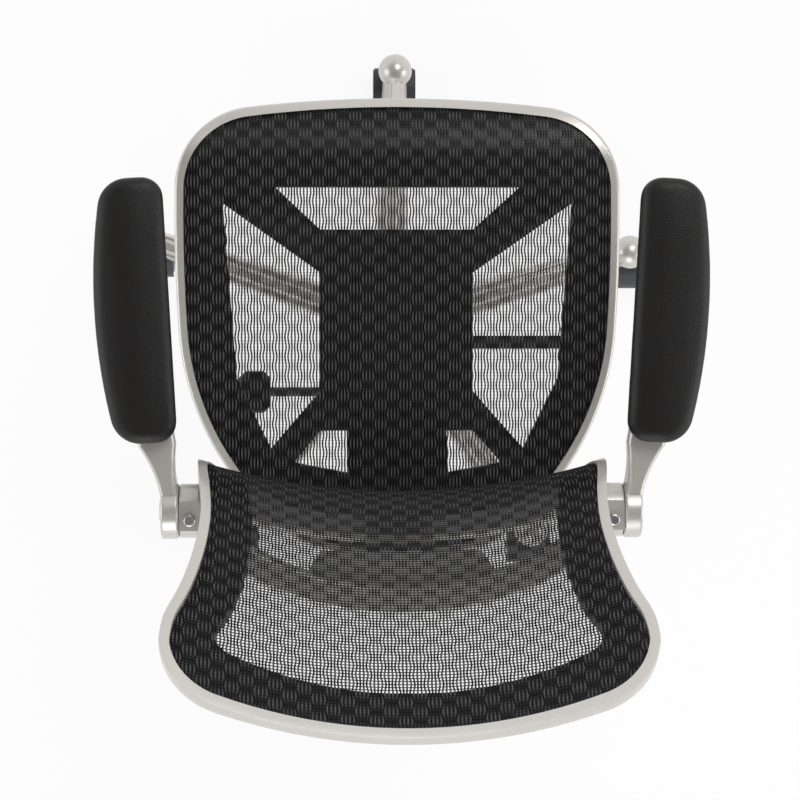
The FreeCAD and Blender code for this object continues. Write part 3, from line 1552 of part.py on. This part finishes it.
bracket = soften(
    hinge_drum(size.bracket_inner, bracket_outer, size.bracket_diameter), size.bracket_round, end_circles
)
screw_back = size.hinge_back + size.bracket_screw_back
screw_pad = block(
    point(size.bracket_inner, screw_back - size.bracket_pad_length / 2, hinge_level),
    point(bracket_outer, screw_back + size.bracket_pad_length / 2, screw_seat),
)
bracket = bracket.fuse(screw_pad)
above_seat = block(
    point(size.bracket_inner - size.bracket_round, size.hinge_back - bracket_radius, screw_seat),
    point(bracket_outer + size.bracket_round, size.hinge_back + size.bracket_diameter, hinge_level * 2),
)
bracket = bracket.cut([above_seat, hinge_drum(size.bracket_inner, bracket_outer, size.hinge_pin_diameter)])
screw_across = size.bracket_inner + size.bracket_thickness / 2
screw_place = point(screw_across, size.hinge_back + size.bracket_screw_back, screw_seat)
screw_head = drum(screw_place, point(0, 0, size.bracket_screw_head_height), size.bracket_screw_head)
screw_head = soften(
    screw_head,
    size.bracket_screw_head_height * 0.6,
    lambda edge: edge.Closed and middle(edge).z > screw_place.z + 1,
)
screw_shank = drum(screw_place, point(0, 0, -size.bracket_screw_depth), size.bracket_screw_diameter)
bracket_screw = screw_head.fuse(screw_shank)
bracket = bracket.cut(bracket_screw)
cap_face = knuckle_outer + size.rest_gap
hinge_pin = hinge_drum(yoke_end_inner, cap_face, size.hinge_pin_diameter)
pin_cap = hinge_drum(cap_face, cap_face + size.hinge_pin_cap, size.hinge_pin_cap_diameter)
pin_cap = soften(
    pin_cap, size.hinge_pin_cap / 2, lambda edge: edge.Closed and middle(edge).x > float(cap_face) + 1
)
hinge_pin = hinge_pin.fuse(pin_cap)

# Arms: cast beam from the knuckle forward under the pad, tapering and toeing out
pad_front_place = point(size.pad_front_half, -size.pad_front, 0)
pad_rear_place = point(size.pad_rear_half, size.pad_rear, 0)
pad_run = (pad_front_place - pad_rear_place).normalize()
pad_across = Vector(-pad_run.y, pad_run.x, 0)
pad_length = (pad_front_place - pad_rear_place).Length
beam_top = float(pad_low) - float(size.rest_gap)


def beam_section(centre, width, depth, run):
    """Upright section of the arm beam with rounded corners, square to its run."""
    across = Vector(-run.y, run.x, 0).normalize() * (float(width) / 2)
    rise = Vector(0, 0, float(depth) / 2)
    corners = [centre + across + rise, centre - across + rise, centre - across - rise, centre + across - rise]
    return rounded_wire([(corner, float(size.arm_round)) for corner in corners])


def beam_place(along, depth):
    """Middle of the beam under the pad, a distance forward of the pad's rear end."""
    return pad_rear_place + pad_run * float(along) + Vector(0, 0, beam_top - float(depth) / 2)


knuckle_middle = point(knuckle_inner + size.knuckle_thickness / 2, size.hinge_back, hinge_level)
hinge_run = Vector(0, -1, 0)
beam_start = knuckle_middle + point(0, -size.knuckle_diameter / 4, 0)
neck_height = (hinge_level + beam_top - size.arm_neck_width / 2) / 2
neck_place = point(size.arm_neck_half, size.arm_neck_back, neck_height)
beam_root = point(size.arm_root_half, size.arm_root_back, beam_top - size.arm_beam_depth / 2)
beam_tip = beam_place(pad_length - float(size.pad_corner), size.arm_tip_depth)
beam_middle = beam_place(pad_length / 2, size.arm_beam_depth * 0.8)
neck = Part.makeLoft([
    beam_section(beam_start, size.knuckle_thickness, size.knuckle_diameter * 0.8, hinge_run),
    beam_section(neck_place, size.arm_neck_width, size.knuckle_diameter * 0.6, hinge_run),
    beam_section(beam_root, size.arm_beam_width, size.arm_beam_depth, pad_run),
], True, False)
beam = Part.makeLoft([
    beam_section(beam_root, size.arm_beam_width, size.arm_beam_depth, pad_run),
    beam_section(beam_middle, size.arm_beam_width, size.arm_beam_depth * 0.8, pad_run),
    beam_section(beam_tip, size.arm_tip_width, size.arm_tip_depth, pad_run),
], True, True)
knuckle = hinge_drum(knuckle_inner, knuckle_outer, size.knuckle_diameter)
knuckle = soften(knuckle, size.knuckle_round, end_circles)
clear_of_bracket = block(
    point(0, size.hinge_back - size.knuckle_diameter, hinge_level - size.knuckle_diameter),
    point(knuckle_inner, size.hinge_back + size.knuckle_diameter, hinge_level + size.knuckle_diameter),
)
above_beam = block(
    point(0, -2 * size.pad_front, beam_top),
    point(2 * size.pad_front_half, 2 * size.hinge_back, pad_low + size.pad_thickness),
)
arm = neck.fuse(beam).cut([clear_of_bracket, above_beam]).fuse(knuckle)
arm = arm.cut(hinge_drum(knuckle_inner, knuckle_outer, size.hinge_pin_diameter + 2 * size.running_play))


def pad_spot(along, aside, height):
    """Point by distance forward of the pad's rear end and distance outward from its middle line."""
    return pad_rear_place + pad_run * float(along) + pad_across * float(aside) + point(0, 0, height)


def make_pad():
    """Moulded arm pad: bowed plan with round ends, crowned top and softened edges."""
    half = float(size.pad_width) / 2
    bow = float(size.pad_side_bow)
    low = float(pad_low)
    end_half = half - bow
    corners = [(0, end_half), (pad_length, end_half), (pad_length, -half), (0, -half)]
    rear_out, front_out, front_in, rear_in = [pad_spot(along, aside, low) for along, aside in corners]
    outline = wire(
        Part.Arc(rear_out, pad_spot(pad_length / 2, half, low), front_out),
        Part.LineSegment(front_out, front_in),
        Part.LineSegment(front_in, rear_in),
        Part.LineSegment(rear_in, rear_out),
    )
    solid = Part.Face(outline).extrude(point(0, 0, size.pad_thickness))
    outer_corners = [rear_out, front_out]

    def is_corner(edge, places):
        return any((Vector(middle(edge).x, middle(edge).y, low) - place).Length < 0.1 for place in places)

    solid = soften(solid, size.pad_corner, lambda edge: is_corner(edge, outer_corners))
    solid = soften(solid, size.pad_inner_corner, lambda edge: is_corner(edge, [front_in, rear_in]))
    crown_axis = pad_spot(-half, 0, pad_low + size.pad_thickness - size.pad_crown_radius)
    crown = drum(crown_axis, pad_run * (pad_length + 2 * half), 2 * size.pad_crown_radius)
    solid = solid.common(crown)
    halfway = low + float(size.pad_thickness) / 2
    solid = soften(solid, size.pad_top_round, lambda edge: middle(edge).z > halfway)
    return soften(solid, size.pad_bottom_round, lambda edge: abs(middle(edge).z - low) < 0.01)


def pad_screw(along):
    """Screw up through the beam into the pad, its head sunk in the beam."""
    head_top = pad_low - size.arm_tip_depth / 2
    place = pad_spot(along, 0, head_top - size.pad_screw_head_height)
    head = drum(place, point(0, 0, size.pad_screw_head_height), size.pad_screw_head)
    shank_rise = point(0, 0, pad_low + size.pad_screw_depth) - Vector(0, 0, place.z)
    return head.fuse(drum(place, shank_rise, size.pad_screw_diameter))


def screw_well(along):
    """Open well under a pad screw's head."""
    place = pad_spot(along, 0, pad_low - size.arm_tip_depth / 2)
    return drum(place, point(0, 0, -size.knuckle_diameter), size.pad_screw_head)


screw_stations = [
    size.pad_rear - size.pad_screw_back,
    size.pad_rear + size.pad_screw_front,
]
pad_screws = [pad_screw(along) for along in screw_stations]
screw_holes = pad_screws + [screw_well(along) for along in screw_stations]
arm = arm.cut(screw_holes)
arm_pad = make_pad().cut(pad_screws)

for side, place_side in (("left", lambda shape: shape.copy()), ("right", mirror_left_right)):
    new_solid(f"arm_bracket_{side}", place_side(bracket))
    new_solid(f"arm_pin_{side}", place_side(hinge_pin))
    new_solid(f"arm_{side}", place_side(arm))
    new_solid(f"arm_pad_{side}", place_side(arm_pad))
    new_solid(f"arm_screws_{side}", Part.makeCompound([place_side(screw) for screw in pad_screws]))
new_solid("bracket_screws", Part.makeCompound([bracket_screw, mirror_left_right(bracket_screw)]))

# Every object has to be up to date and every node a valid shape before anything is written
doc.recompute()
for thing in doc.Objects:
    if any(state in ("Invalid", "Error") for state in thing.State):
        raise RuntimeError(f"{thing.Label} failed: {thing.State}")
for node in nodes:
    if node.Shape.isNull() or not node.Shape.isValid() or not node.Shape.Solids:
        raise RuntimeError(f"{node.Label} has no valid solid")
os.makedirs("parts", exist_ok=True)
for node in nodes:
    node.Shape.exportStep(f"parts/{node.Label}.step")
print(f"{len(nodes)} nodes written")
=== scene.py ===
import bisect
import math

import bpy
from mathutils import Matrix, Vector


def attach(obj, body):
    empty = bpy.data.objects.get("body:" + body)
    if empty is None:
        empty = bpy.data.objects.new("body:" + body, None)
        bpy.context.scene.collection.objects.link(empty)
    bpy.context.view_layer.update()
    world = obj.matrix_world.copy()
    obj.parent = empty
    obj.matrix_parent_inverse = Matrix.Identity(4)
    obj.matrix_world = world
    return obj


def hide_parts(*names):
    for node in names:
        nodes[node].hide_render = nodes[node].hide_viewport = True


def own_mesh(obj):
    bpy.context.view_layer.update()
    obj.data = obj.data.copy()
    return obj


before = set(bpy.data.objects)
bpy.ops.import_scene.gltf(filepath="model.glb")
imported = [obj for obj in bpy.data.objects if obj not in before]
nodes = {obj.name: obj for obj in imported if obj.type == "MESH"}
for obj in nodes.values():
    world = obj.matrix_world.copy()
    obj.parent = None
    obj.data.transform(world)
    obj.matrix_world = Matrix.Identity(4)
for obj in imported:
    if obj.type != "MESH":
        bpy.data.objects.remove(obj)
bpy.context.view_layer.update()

# Studio: a white paper floor, pale walls, a dark ceiling and four soft lights, seen from straight
# above the seat as the chair was photographed, with its front at the top of the picture.
scene = bpy.context.scene
scene.view_settings.view_transform = "Standard"
camera_spot = Vector((0.088, -0.106, 3.4))
camera_aim = Vector((-0.0025, 0.0735, 0.45))
camera = bpy.data.objects.new("photo_camera", bpy.data.cameras.new("photo_camera"))
scene.collection.objects.link(camera)
camera.data.lens = 118.35
back_way = (camera_spot - camera_aim).normalized()
picture_up = Vector((0, -1, 0))
up_way = (picture_up - back_way * picture_up.dot(back_way)).normalized()
side_way = up_way.cross(back_way)
camera_turn = Matrix((side_way, up_way, back_way)).transposed().to_4x4()
camera.matrix_world = Matrix.Translation(camera_spot) @ camera_turn
scene.camera = camera


class Shade:
    """A shader value: arithmetic on it adds Math nodes to its node tree."""

    def __init__(self, graph, socket):
        self.graph = graph
        self.socket = socket

    def maths(self, operation, first, second):
        return self.graph.node("Math", {"operation": operation}, {0: first, 1: second})

    def __add__(self, other):
        return self.maths("ADD", self, other)

    def __radd__(self, other):
        return self.maths("ADD", other, self)

    def __mul__(self, other):
        return self.maths("MULTIPLY", self, other)

    def __rmul__(self, other):
        return self.maths("MULTIPLY", other, self)


class Graph:
    """A node tree that nodes are added to."""

    def __init__(self, tree):
        self.tree = tree

    def node(self, kind, settings=None, inputs=None, output=0):
        """Add a node: its settings first, then values or links by socket, and hand back one output."""
        added = self.tree.nodes.new("ShaderNode" + kind)
        for name, value in (settings or {}).items():
            if name == "stops":
                for stop, (place, colour) in zip(added.color_ramp.elements, value):
                    stop.position = place
                    stop.color = colour
            else:
                setattr(added, name, value)
        for name, value in (inputs or {}).items():
            if isinstance(value, Shade):
                self.tree.links.new(value.socket, added.inputs[name])
            else:
                added.inputs[name].default_value = value
        return Shade(self, added.outputs[output])


class Paint(Graph):
    """One material, built node by node on its Principled shader."""

    def __init__(self, name, **settings):
        self.material = bpy.data.materials.new(name)
        self.material.use_nodes = True
        super().__init__(self.material.node_tree)
        self.shader = self.tree.nodes["Principled BSDF"]
        self.set(**settings)

    def set(self, **settings):
        """Set or link sockets of the Principled shader, named in words with underscores."""
        for name, value in settings.items():
            socket = self.shader.inputs[name.replace("_", " ").title().replace("Ior", "IOR")]
            if isinstance(value, Shade):
                self.tree.links.new(value.socket, socket)
            else:
                socket.default_value = value

    def place(self):
        """Where a point is on the piece, in metres."""
        return self.node("TexCoord", output="Object")

    def noise(self, scale, detail, place=None):
        """Cloudy noise from 0 to 1, with features about 1 / scale metres across."""
        inputs = {"Vector": place or self.place(), "Scale": scale, "Detail": detail}
        return self.node("TexNoise", {}, inputs)

    def blend(self, factor, first, second):
        """A colour between two others."""
        settings = {"data_type": "RGBA"}
        return self.node("Mix", settings, {0: factor, 6: first, 7: second}, 2)

    def bump(self, height, strength, distance):
        """Bumps of a height pattern, fed to the shader's normal."""
        inputs = {"Height": height, "Strength": strength, "Distance": distance}
        self.set(normal=self.node("Bump", {}, inputs))

    def wear(self, *names):
        """Put this material on CAD nodes."""
        for name in names:
            mesh = nodes[name].data
            mesh.materials.clear()
            mesh.materials.append(self.material)


floor_side = 400
bpy.ops.object.select_all(action="DESELECT")
bpy.ops.mesh.primitive_plane_add(size=floor_side, location=(0, 0, 0))
floor = bpy.context.object
floor.name = "studio_floor"
paper = Paint("white_paper", base_color=(0.97, 0.97, 0.97, 1), roughness=0.9)
paper_glow = 0.88
rays = ("Is Camera Ray", "Is Glossy Ray", "Is Transmission Ray")
seen = sum(paper.node("LightPath", output=ray) for ray in rays)
lit = Shade(paper, paper.shader.outputs[0])
glow = paper.node("Emission", {}, {"Color": (1, 1, 1, 1), "Strength": 1.0})
mixed = paper.node("MixShader", {}, {0: seen * paper_glow, 1: lit, 2: glow})
paper.tree.links.new(mixed.socket, paper.tree.nodes["Material Output"].inputs["Surface"])
floor.data.materials.append(paper.material)

world = bpy.data.worlds.new("studio_air")
scene.world = world
world.use_nodes = True
air = Graph(world.node_tree)
wall_and_ceiling = [(0.3, (1, 1, 1, 1)), (0.8, (0.1, 0.1, 0.1, 1))]
height = air.node("SeparateXYZ", {}, {0: air.node("TexCoord", output="Generated")}, "Z")
shade = air.node("ValToRGB", {"stops": wall_and_ceiling}, {0: height}, "Color")
air.tree.links.new(shade.socket, air.tree.nodes["Background"].inputs["Color"])
light_target = Vector((0, 0, 0.5))
for name, spot, width, power in (
    ("front_window", (-1.0, -1.9, 3.3), 1.7, 46),
    ("left_fill", (2.7, 0.2, 1.5), 1.6, 16),
    ("right_fill", (-2.7, 0.5, 1.5), 1.6, 18),
    ("rear_fill", (0.3, 2.8, 2.1), 1.8, 32),
):
    lamp = bpy.data.objects.new(name, bpy.data.lights.new(name, "AREA"))
    lamp.data.size = width
    lamp.data.energy = power
    lamp.location = spot
    lamp.rotation_euler = (Vector(spot) - light_target).to_track_quat("Z", "Y").to_euler()
    scene.collection.objects.link(lamp)

# Five-star base and the other cast and drawn frame pieces: metal under warm satin silver paint,
# sprayed on, slightly cloudy and with a faint orange-peel surface under a thin clear coat.
silver = Paint("silver_paint", metallic=0.5, coat_weight=0.25, coat_roughness=0.16)
cloud = silver.noise(9, 3.0)
silver.set(base_color=silver.blend(cloud, (0.60, 0.572, 0.535, 1), (0.64, 0.616, 0.58, 1)))
silver.set(roughness=0.30 + 0.05 * silver.noise(120, 2.0))
silver.bump(silver.noise(260, 2.0), 0.02, 0.0003)
silver.wear(
    "base_star", "seat_frame", "arm_left", "arm_right", "arm_bracket_left", "arm_bracket_right",
    "back_support",
)

# Casters: charcoal nylon hoods and twin wheels, moulded, with a soft uneven sheen. The hoods turn
# on steel stems pressed into the ball ends of the legs, and the wheels run on steel axles.
nylon = Paint("charcoal_nylon", specular_ior_level=0.4)
nylon_cloud = nylon.noise(60, 3.0)
nylon.set(base_color=nylon.blend(nylon_cloud, (0.040, 0.042, 0.048, 1), (0.060, 0.062, 0.068, 1)))
nylon.set(roughness=0.42 + 0.16 * nylon.noise(350, 2.0))
nylon.bump(nylon.noise(1500, 2.0), 0.12, 0.0003)
caster_names = ("front", "right", "rear_right", "rear_left", "left")
for name in caster_names:
    nylon.wear(f"caster_{name}_hood", f"caster_{name}_wheel_left", f"caster_{name}_wheel_right")

# Plated steel: stems, axles, pins, screws, the piston rod and the cylinder. They are turned and
# ground, so fine lines run round them, and they are pressed or screwed into what they hold.
steel = Paint("plated_steel", metallic=1.0)
turned = steel.node("Mapping", {}, {"Vector": steel.place(), "Scale": (0.05, 0.05, 1)})
rings = steel.noise(1400, 1.0, turned)
steel.set(base_color=steel.blend(steel.noise(25, 2.0), (0.50, 0.50, 0.51, 1), (0.62, 0.62, 0.63, 1)))
steel.set(roughness=0.22 + 0.16 * rings)
steel.bump(rings, 0.05, 0.0002)
steel.wear(
    "caster_stems", "thrust_bearing", "retaining_clip", "piston_rod", "pressure_cylinder", "valve_pin",
    "tilt_pin", "tension_bolt", "arm_pin_left", "arm_pin_right", "bracket_screws", "arm_screws_left",
    "arm_screws_right", *[f"caster_{name}_axle" for name in caster_names],
)

# Tension spring: plated wire, cold coiled round the tension bolt. It stands on the housing's floor
# under the plate.


def copy_of(node, name):
    """A copy of a CAD node to work on: welded, linked, selected and active."""
    bpy.ops.object.select_all(action="DESELECT")
    piece = nodes[node].copy()
    piece.data = nodes[node].data.copy()
    piece.name = name
    scene.collection.objects.link(piece)
    bpy.context.view_layer.objects.active = piece
    piece.select_set(True)
    bpy.ops.object.mode_set(mode="EDIT")
    bpy.ops.mesh.select_all(action="SELECT")
    bpy.ops.mesh.remove_doubles(threshold=0.00001)
    bpy.ops.object.mode_set(mode="OBJECT")
    return piece


coil = copy_of("tension_spring", "coil_spring")
bpy.ops.object.shade_smooth_by_angle(angle=math.radians(40))
coil.data.materials.clear()
coil.data.materials.append(steel.material)
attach(coil, "mechanism")
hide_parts("tension_spring")
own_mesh(coil)

# Column tube, mechanism and levers: pressed and drawn steel under semi-matt black powder coat.
# The housing sits on the cylinder's taper, and the bolts of seat and back are blacked too.
powder = Paint("black_powder_coat", specular_ior_level=0.45)
powder_cloud = powder.noise(40, 2.0)
powder.set(base_color=powder.blend(powder_cloud, (0.018, 0.018, 0.019, 1), (0.030, 0.030, 0.031, 1)))
powder.set(roughness=0.40 + 0.20 * powder.noise(500, 2.0))
powder.bump(powder.noise(1100, 3.0), 0.18, 0.0004)
powder.wear(
    "column_tube", "mechanism_housing", "tilt_plate", "height_lever", "tilt_lock_lever", "back_bolts",
    "seat_bolts",
)

# Seat pan, back carrier, paddles, knob and bush: black glass-filled nylon with a moulded grain.
# The pan is bolted to the tilt plate, the carrier sits on the lugs of the yoke, and the paddles
# are pushed onto their levers.
moulded = Paint("black_moulding", specular_ior_level=0.45)
moulded_cloud = moulded.noise(30, 2.0)
moulded.set(base_color=moulded.blend(moulded_cloud, (0.004, 0.004, 0.0042, 1), (0.007, 0.007, 0.0072, 1)))
moulded.set(roughness=0.25 + 0.10 * moulded.noise(420, 2.0))
moulded.bump(moulded.noise(1300, 2.0), 0.22, 0.0004)
moulded.wear(
    "seat_pan", "back_inner_frame", "height_paddle", "tilt_lock_paddle", "tension_knob", "column_bush",
)

# Woven mesh of seat and back: black polyester warp threads held by hair-thin weft. They run front
# to back on the seat and upright on the back, in bundles of four that close up and open out in turn.
# The raised half of each bundle is coloured lighter, a painted highlight with a cloudy painted sheen,
# so the cloth shows a checker. It is stretched inside the rim, on the moulding under its edge.
thread = Paint("black_polyester", specular_ior_level=0.3)
lift = thread.node("Attribute", {"attribute_name": "lift"}, output="Fac")
sheen = thread.noise(160, 2.0)
# Painted highlight: threads are coloured lighter the higher their lift, with cloudy painted sheen.
raised_highlight = lift * (0.55 + 0.6 * sheen)
thread.set(base_color=thread.blend(raised_highlight, (0.003, 0.003, 0.0032, 1), (0.105, 0.105, 0.108, 1)))
thread.set(roughness=0.36 + 0.14 * thread.noise(700, 2.0))
thread.bump(thread.noise(2400, 1.0), 0.3, 0.0003)
thread_pitch = 0.0035
thread_half_width = 0.00094
thread_half_height = 0.00045
bundle_threads = 4
bundle_length = 0.0218
bundle_dip = 0.0009
sway = 0.15 * thread_pitch
weft_half_width = 0.00016
weft_depth = 0.0009
weft_pitch = bundle_length / 6
weft_steps = 40
step_length = bundle_length / 5
shortest_thread = 3 * step_length
line_steps = 2400
slope_steps = 12
ray_reach = 0.02
edge_stride = 0.003
edge_precision = 0.0001


def edge(covered, outside, inside):
    """Where cloth starts between a place outside and one inside."""
    stride = math.copysign(edge_stride, inside - outside)
    spot = outside
    while not covered(spot) and abs(inside - spot) > edge_stride:
        spot += stride
    low, high = spot - stride, spot
    while abs(high - low) > edge_precision:
        centre = (low + high) / 2
        low, high = (low, centre) if covered(centre) else (centre, high)
    return high


class Cloth:
    """One stretched sheet: its middle line is met by rays, and its plan is straight or an arc."""

    def __init__(self, node, start, end, way, plan_centre=None):
        self.node = node
        self.way = way
        self.plan_centre = plan_centre
        self.lengths = []
        self.spots = []
        for step in range(line_steps + 1):
            origin = start.lerp(end, step / line_steps) - way
            met, spot = node.ray_cast(origin, way)[:2]
            if met:
                gap = (spot - self.spots[-1]).length if self.spots else 0.0
                self.lengths.append(self.lengths[-1] + gap if self.lengths else 0.0)
                self.spots.append(spot)
        self.length = self.lengths[-1]

    def middle(self, length):
        """Spot and outward normal on the middle line at a length along it."""
        index = bisect.bisect_left(self.lengths, length)
        index = min(max(index, slope_steps), len(self.spots) - slope_steps - 1)
        along = (self.spots[index + slope_steps] - self.spots[index - slope_steps]).normalized()
        normal = Vector((0, -along.z, along.y))
        if normal.dot(self.way) > 0:
            normal.negate()
        return self.spots[index] + along * (length - self.lengths[index]), normal

    def place(self, across, length):
        """Spot and outward normal a distance aside from the middle line."""
        spot, normal = self.middle(length)
        if self.plan_centre is None:
            return Vector((across, spot.y, spot.z)), normal
        radius = spot.y - self.plan_centre
        back = math.sqrt(radius * radius - across * across)
        turned = Vector((normal.y * across / radius, normal.y * back / radius, normal.z))
        return Vector((across, self.plan_centre + back, spot.z)), turned

    def covers(self, across, length):
        """Whether the sheet has cloth at a place."""
        spot = self.place(across, length)[0]
        return self.node.ray_cast(spot - self.way * ray_reach, self.way, distance=2 * ray_reach)[0]

    def span(self, length, half_width):
        """The two sides of the cloth at a length along its middle line."""
        if not self.covers(0.0, length):
            return [0.0, 0.0]

        def covered(across):
            return self.covers(across, length)

        return [edge(covered, side * half_width, 0.0) for side in (-1, 1)]

    def runs(self, aside, spans):
        """Where a thread beside the middle line has cloth: start, end and steps between, for each run."""

        def covered(length):
            return self.covers(aside, length)

        inside = [right < aside < left for right, left in spans] + [False]
        first = None
        for step, held in enumerate(inside):
            if held and first is None:
                first = step
            if not held and first is not None:
                last = step - 1
                start = edge(covered, (first - 1) * step_length, first * step_length)
                end = edge(covered, (last + 1) * step_length, last * step_length)
                yield start, end, range(first + 1, last)
                first = None


def weave(name, cloth, half_width, weft_half_height):
    """All threads of one sheet as a single mesh of slim four-sided tubes."""
    corners = []
    faces = []
    lifts = []

    def lay(strand, width, height):
        """Add one thread along its spots, with half the width and height of its section."""
        first = len(corners)
        for index, (spot, normal, lift) in enumerate(strand):
            ahead = strand[min(index + 1, len(strand) - 1)][0] - strand[max(index - 1, 0)][0]
            across = ahead.cross(normal).normalized() * width
            rise = normal * height
            corners.extend((spot + across, spot + rise, spot - across, spot - rise))
            lifts.extend((lift, lift, lift, lift))
        for index in range(len(strand) - 1):
            base = first + 4 * index
            for side in range(4):
                after = (side + 1) % 4
                faces.append((base + side, base + after, base + 4 + after, base + 4 + side))
        last = len(corners) - 4
        faces.append((first + 3, first + 2, first + 1, first))
        faces.append((last, last + 1, last + 2, last + 3))

    span_count = int(cloth.length / step_length) + 1
    spans = [cloth.span(step * step_length, half_width) for step in range(span_count)]
    count = int(half_width / thread_pitch)
    for index in range(-count, count + 1):
        bundle, place_in_bundle = divmod(index, bundle_threads)
        aside = index * thread_pitch
        for start, end, steps in cloth.runs(aside, spans):
            if end - start < shortest_thread:
                continue
            strand = []
            for length in [start] + [step * step_length for step in steps] + [end]:
                wave = math.cos(2 * math.pi * length / bundle_length + math.pi * bundle)
                across = aside + sway * (place_in_bundle - (bundle_threads - 1) / 2) * wave
                spot, normal = cloth.place(across, length)
                depth = thread_half_height + bundle_dip * (0.5 - wave / 2)
                # The third value is the thread's lift, which the material paints as a lighter highlight.
                strand.append((spot - normal * depth, normal, 0.5 + wave / 2))
            lay(strand, thread_half_width, thread_half_height)
    for row in range(1, int(cloth.length / weft_pitch)):
        length = row * weft_pitch
        right, left = cloth.span(length, half_width)
        strand = []
        for step in range(weft_steps + 1):
            spot, normal = cloth.place(right + (left - right) * step / weft_steps, length)
            strand.append((spot - normal * weft_depth, normal, 0.0))
        lay(strand, weft_half_width, weft_half_height)
    mesh = bpy.data.meshes.new(name)
    mesh.from_pydata(corners, [], faces)
    mesh.attributes.new("lift", "FLOAT", "POINT").data.foreach_set("value", lifts)
    woven = bpy.data.objects.new(name, mesh)
    scene.collection.objects.link(woven)
    mesh.materials.append(thread.material)
    mesh.polygons.foreach_set("use_smooth", [True] * len(mesh.polygons))
    return woven


seat_line = Vector((0, -0.262, 0.4)), Vector((0, 0.252, 0.4))
seat_sheet = Cloth(nodes["seat_mesh"], *seat_line, Vector((0, 0, -1)))
seat_cloth = weave("seat_weave", seat_sheet, half_width=0.245, weft_half_height=0.00055)
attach(seat_cloth, "seat")
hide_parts("seat_mesh")

back_line = Vector((0, 0.2, 0.46)), Vector((0, 0.2, 0.92))
back_plan_centre = -0.578
back_sheet = Cloth(nodes["back_mesh"], *back_line, Vector((0, 1, 0)), back_plan_centre)
back_cloth = weave("back_weave", back_sheet, half_width=0.24, weft_half_height=0.00085)
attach(back_cloth, "seat")
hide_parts("back_mesh")

# Back rim: a drawn silver section bent round the back with its edges rolled over. It fits round
# the mesh and its carrier and is painted like the rest of the frame.
back_rim = copy_of("back_frame", "back_rim")
bpy.ops.object.mode_set(mode="EDIT")
bpy.ops.mesh.select_all(action="SELECT")
bpy.ops.mesh.dissolve_limited(angle_limit=math.radians(1.0))
bpy.ops.object.mode_set(mode="OBJECT")
rolled = back_rim.modifiers.new("rolled_edges", "BEVEL")
rolled.width = 0.0032
rolled.segments = 3
rolled.limit_method = "ANGLE"
rolled.angle_limit = math.radians(50)
bpy.ops.object.modifier_apply(modifier=rolled.name)
bpy.ops.object.shade_smooth_by_angle(angle=math.radians(35))
back_rim.data.materials.clear()
back_rim.data.materials.append(silver.material)
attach(back_rim, "seat")
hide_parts("back_frame")

# Arm pads: self-skinned polyurethane foam, moulded with a fine leathery grain and a crowned top.
# Two screws from below hold each pad on its arm.
skin = Paint("foam_skin", specular_ior_level=0.36)
grain = skin.node("TexVoronoi", {"feature": "F1"}, {"Vector": skin.place(), "Scale": 950.0}, "Distance")
fine = skin.noise(1800, 2.0)
skin_cloud = skin.noise(14, 3.0)
skin.set(base_color=skin.blend(skin_cloud, (0.0062, 0.0052, 0.0049, 1), (0.0105, 0.0092, 0.0087, 1)))
skin.set(roughness=0.34 + 0.18 * fine)
skin.bump(grain * 0.7 + fine * 0.5, 0.45, 0.0005)
pad_crown = 0.007
pad_end_share = 0.5
pad_bands = 40


def crown(mesh):
    """Let the top of a pad fall away from its middle line to both edges and both ends."""
    low = Vector([min(corner.co[axis] for corner in mesh.vertices) for axis in range(3)])
    high = Vector([max(corner.co[axis] for corner in mesh.vertices) for axis in range(3)])

    def band(corner):
        return round((corner.co.y - low.y) / (high.y - low.y) * pad_bands)

    sides = {}
    for corner in mesh.vertices:
        inner, outer = sides.get(band(corner), (corner.co.x, corner.co.x))
        sides[band(corner)] = min(inner, corner.co.x), max(outer, corner.co.x)
    for corner in mesh.vertices:
        inner, outer = sides[band(corner)]
        aside = (2 * corner.co.x - inner - outer) / max(high.x - low.x, outer - inner)
        along = (2 * corner.co.y - low.y - high.y) / (high.y - low.y)
        share = (corner.co.z - low.z) / (high.z - low.z)
        corner.co.z -= pad_crown * share * share * min(aside ** 2 + pad_end_share * along ** 6, 1.0)


for side in ("left", "right"):
    arm_pad = copy_of(f"arm_pad_{side}", f"arm_cushion_{side}")
    voxels = arm_pad.modifiers.new("foam_voxels", "REMESH")
    voxels.mode = "VOXEL"
    voxels.voxel_size = 0.0026
    bpy.ops.object.modifier_apply(modifier=voxels.name)
    crown(arm_pad.data)
    ease = arm_pad.modifiers.new("eased_skin", "SMOOTH")
    ease.factor = 0.5
    ease.iterations = 6
    bpy.ops.object.modifier_apply(modifier=ease.name)
    bpy.ops.object.shade_smooth()
    arm_pad.data.materials.clear()
    arm_pad.data.materials.append(skin.material)
    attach(arm_pad, f"arm_{side}_body")
    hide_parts(f"arm_pad_{side}")
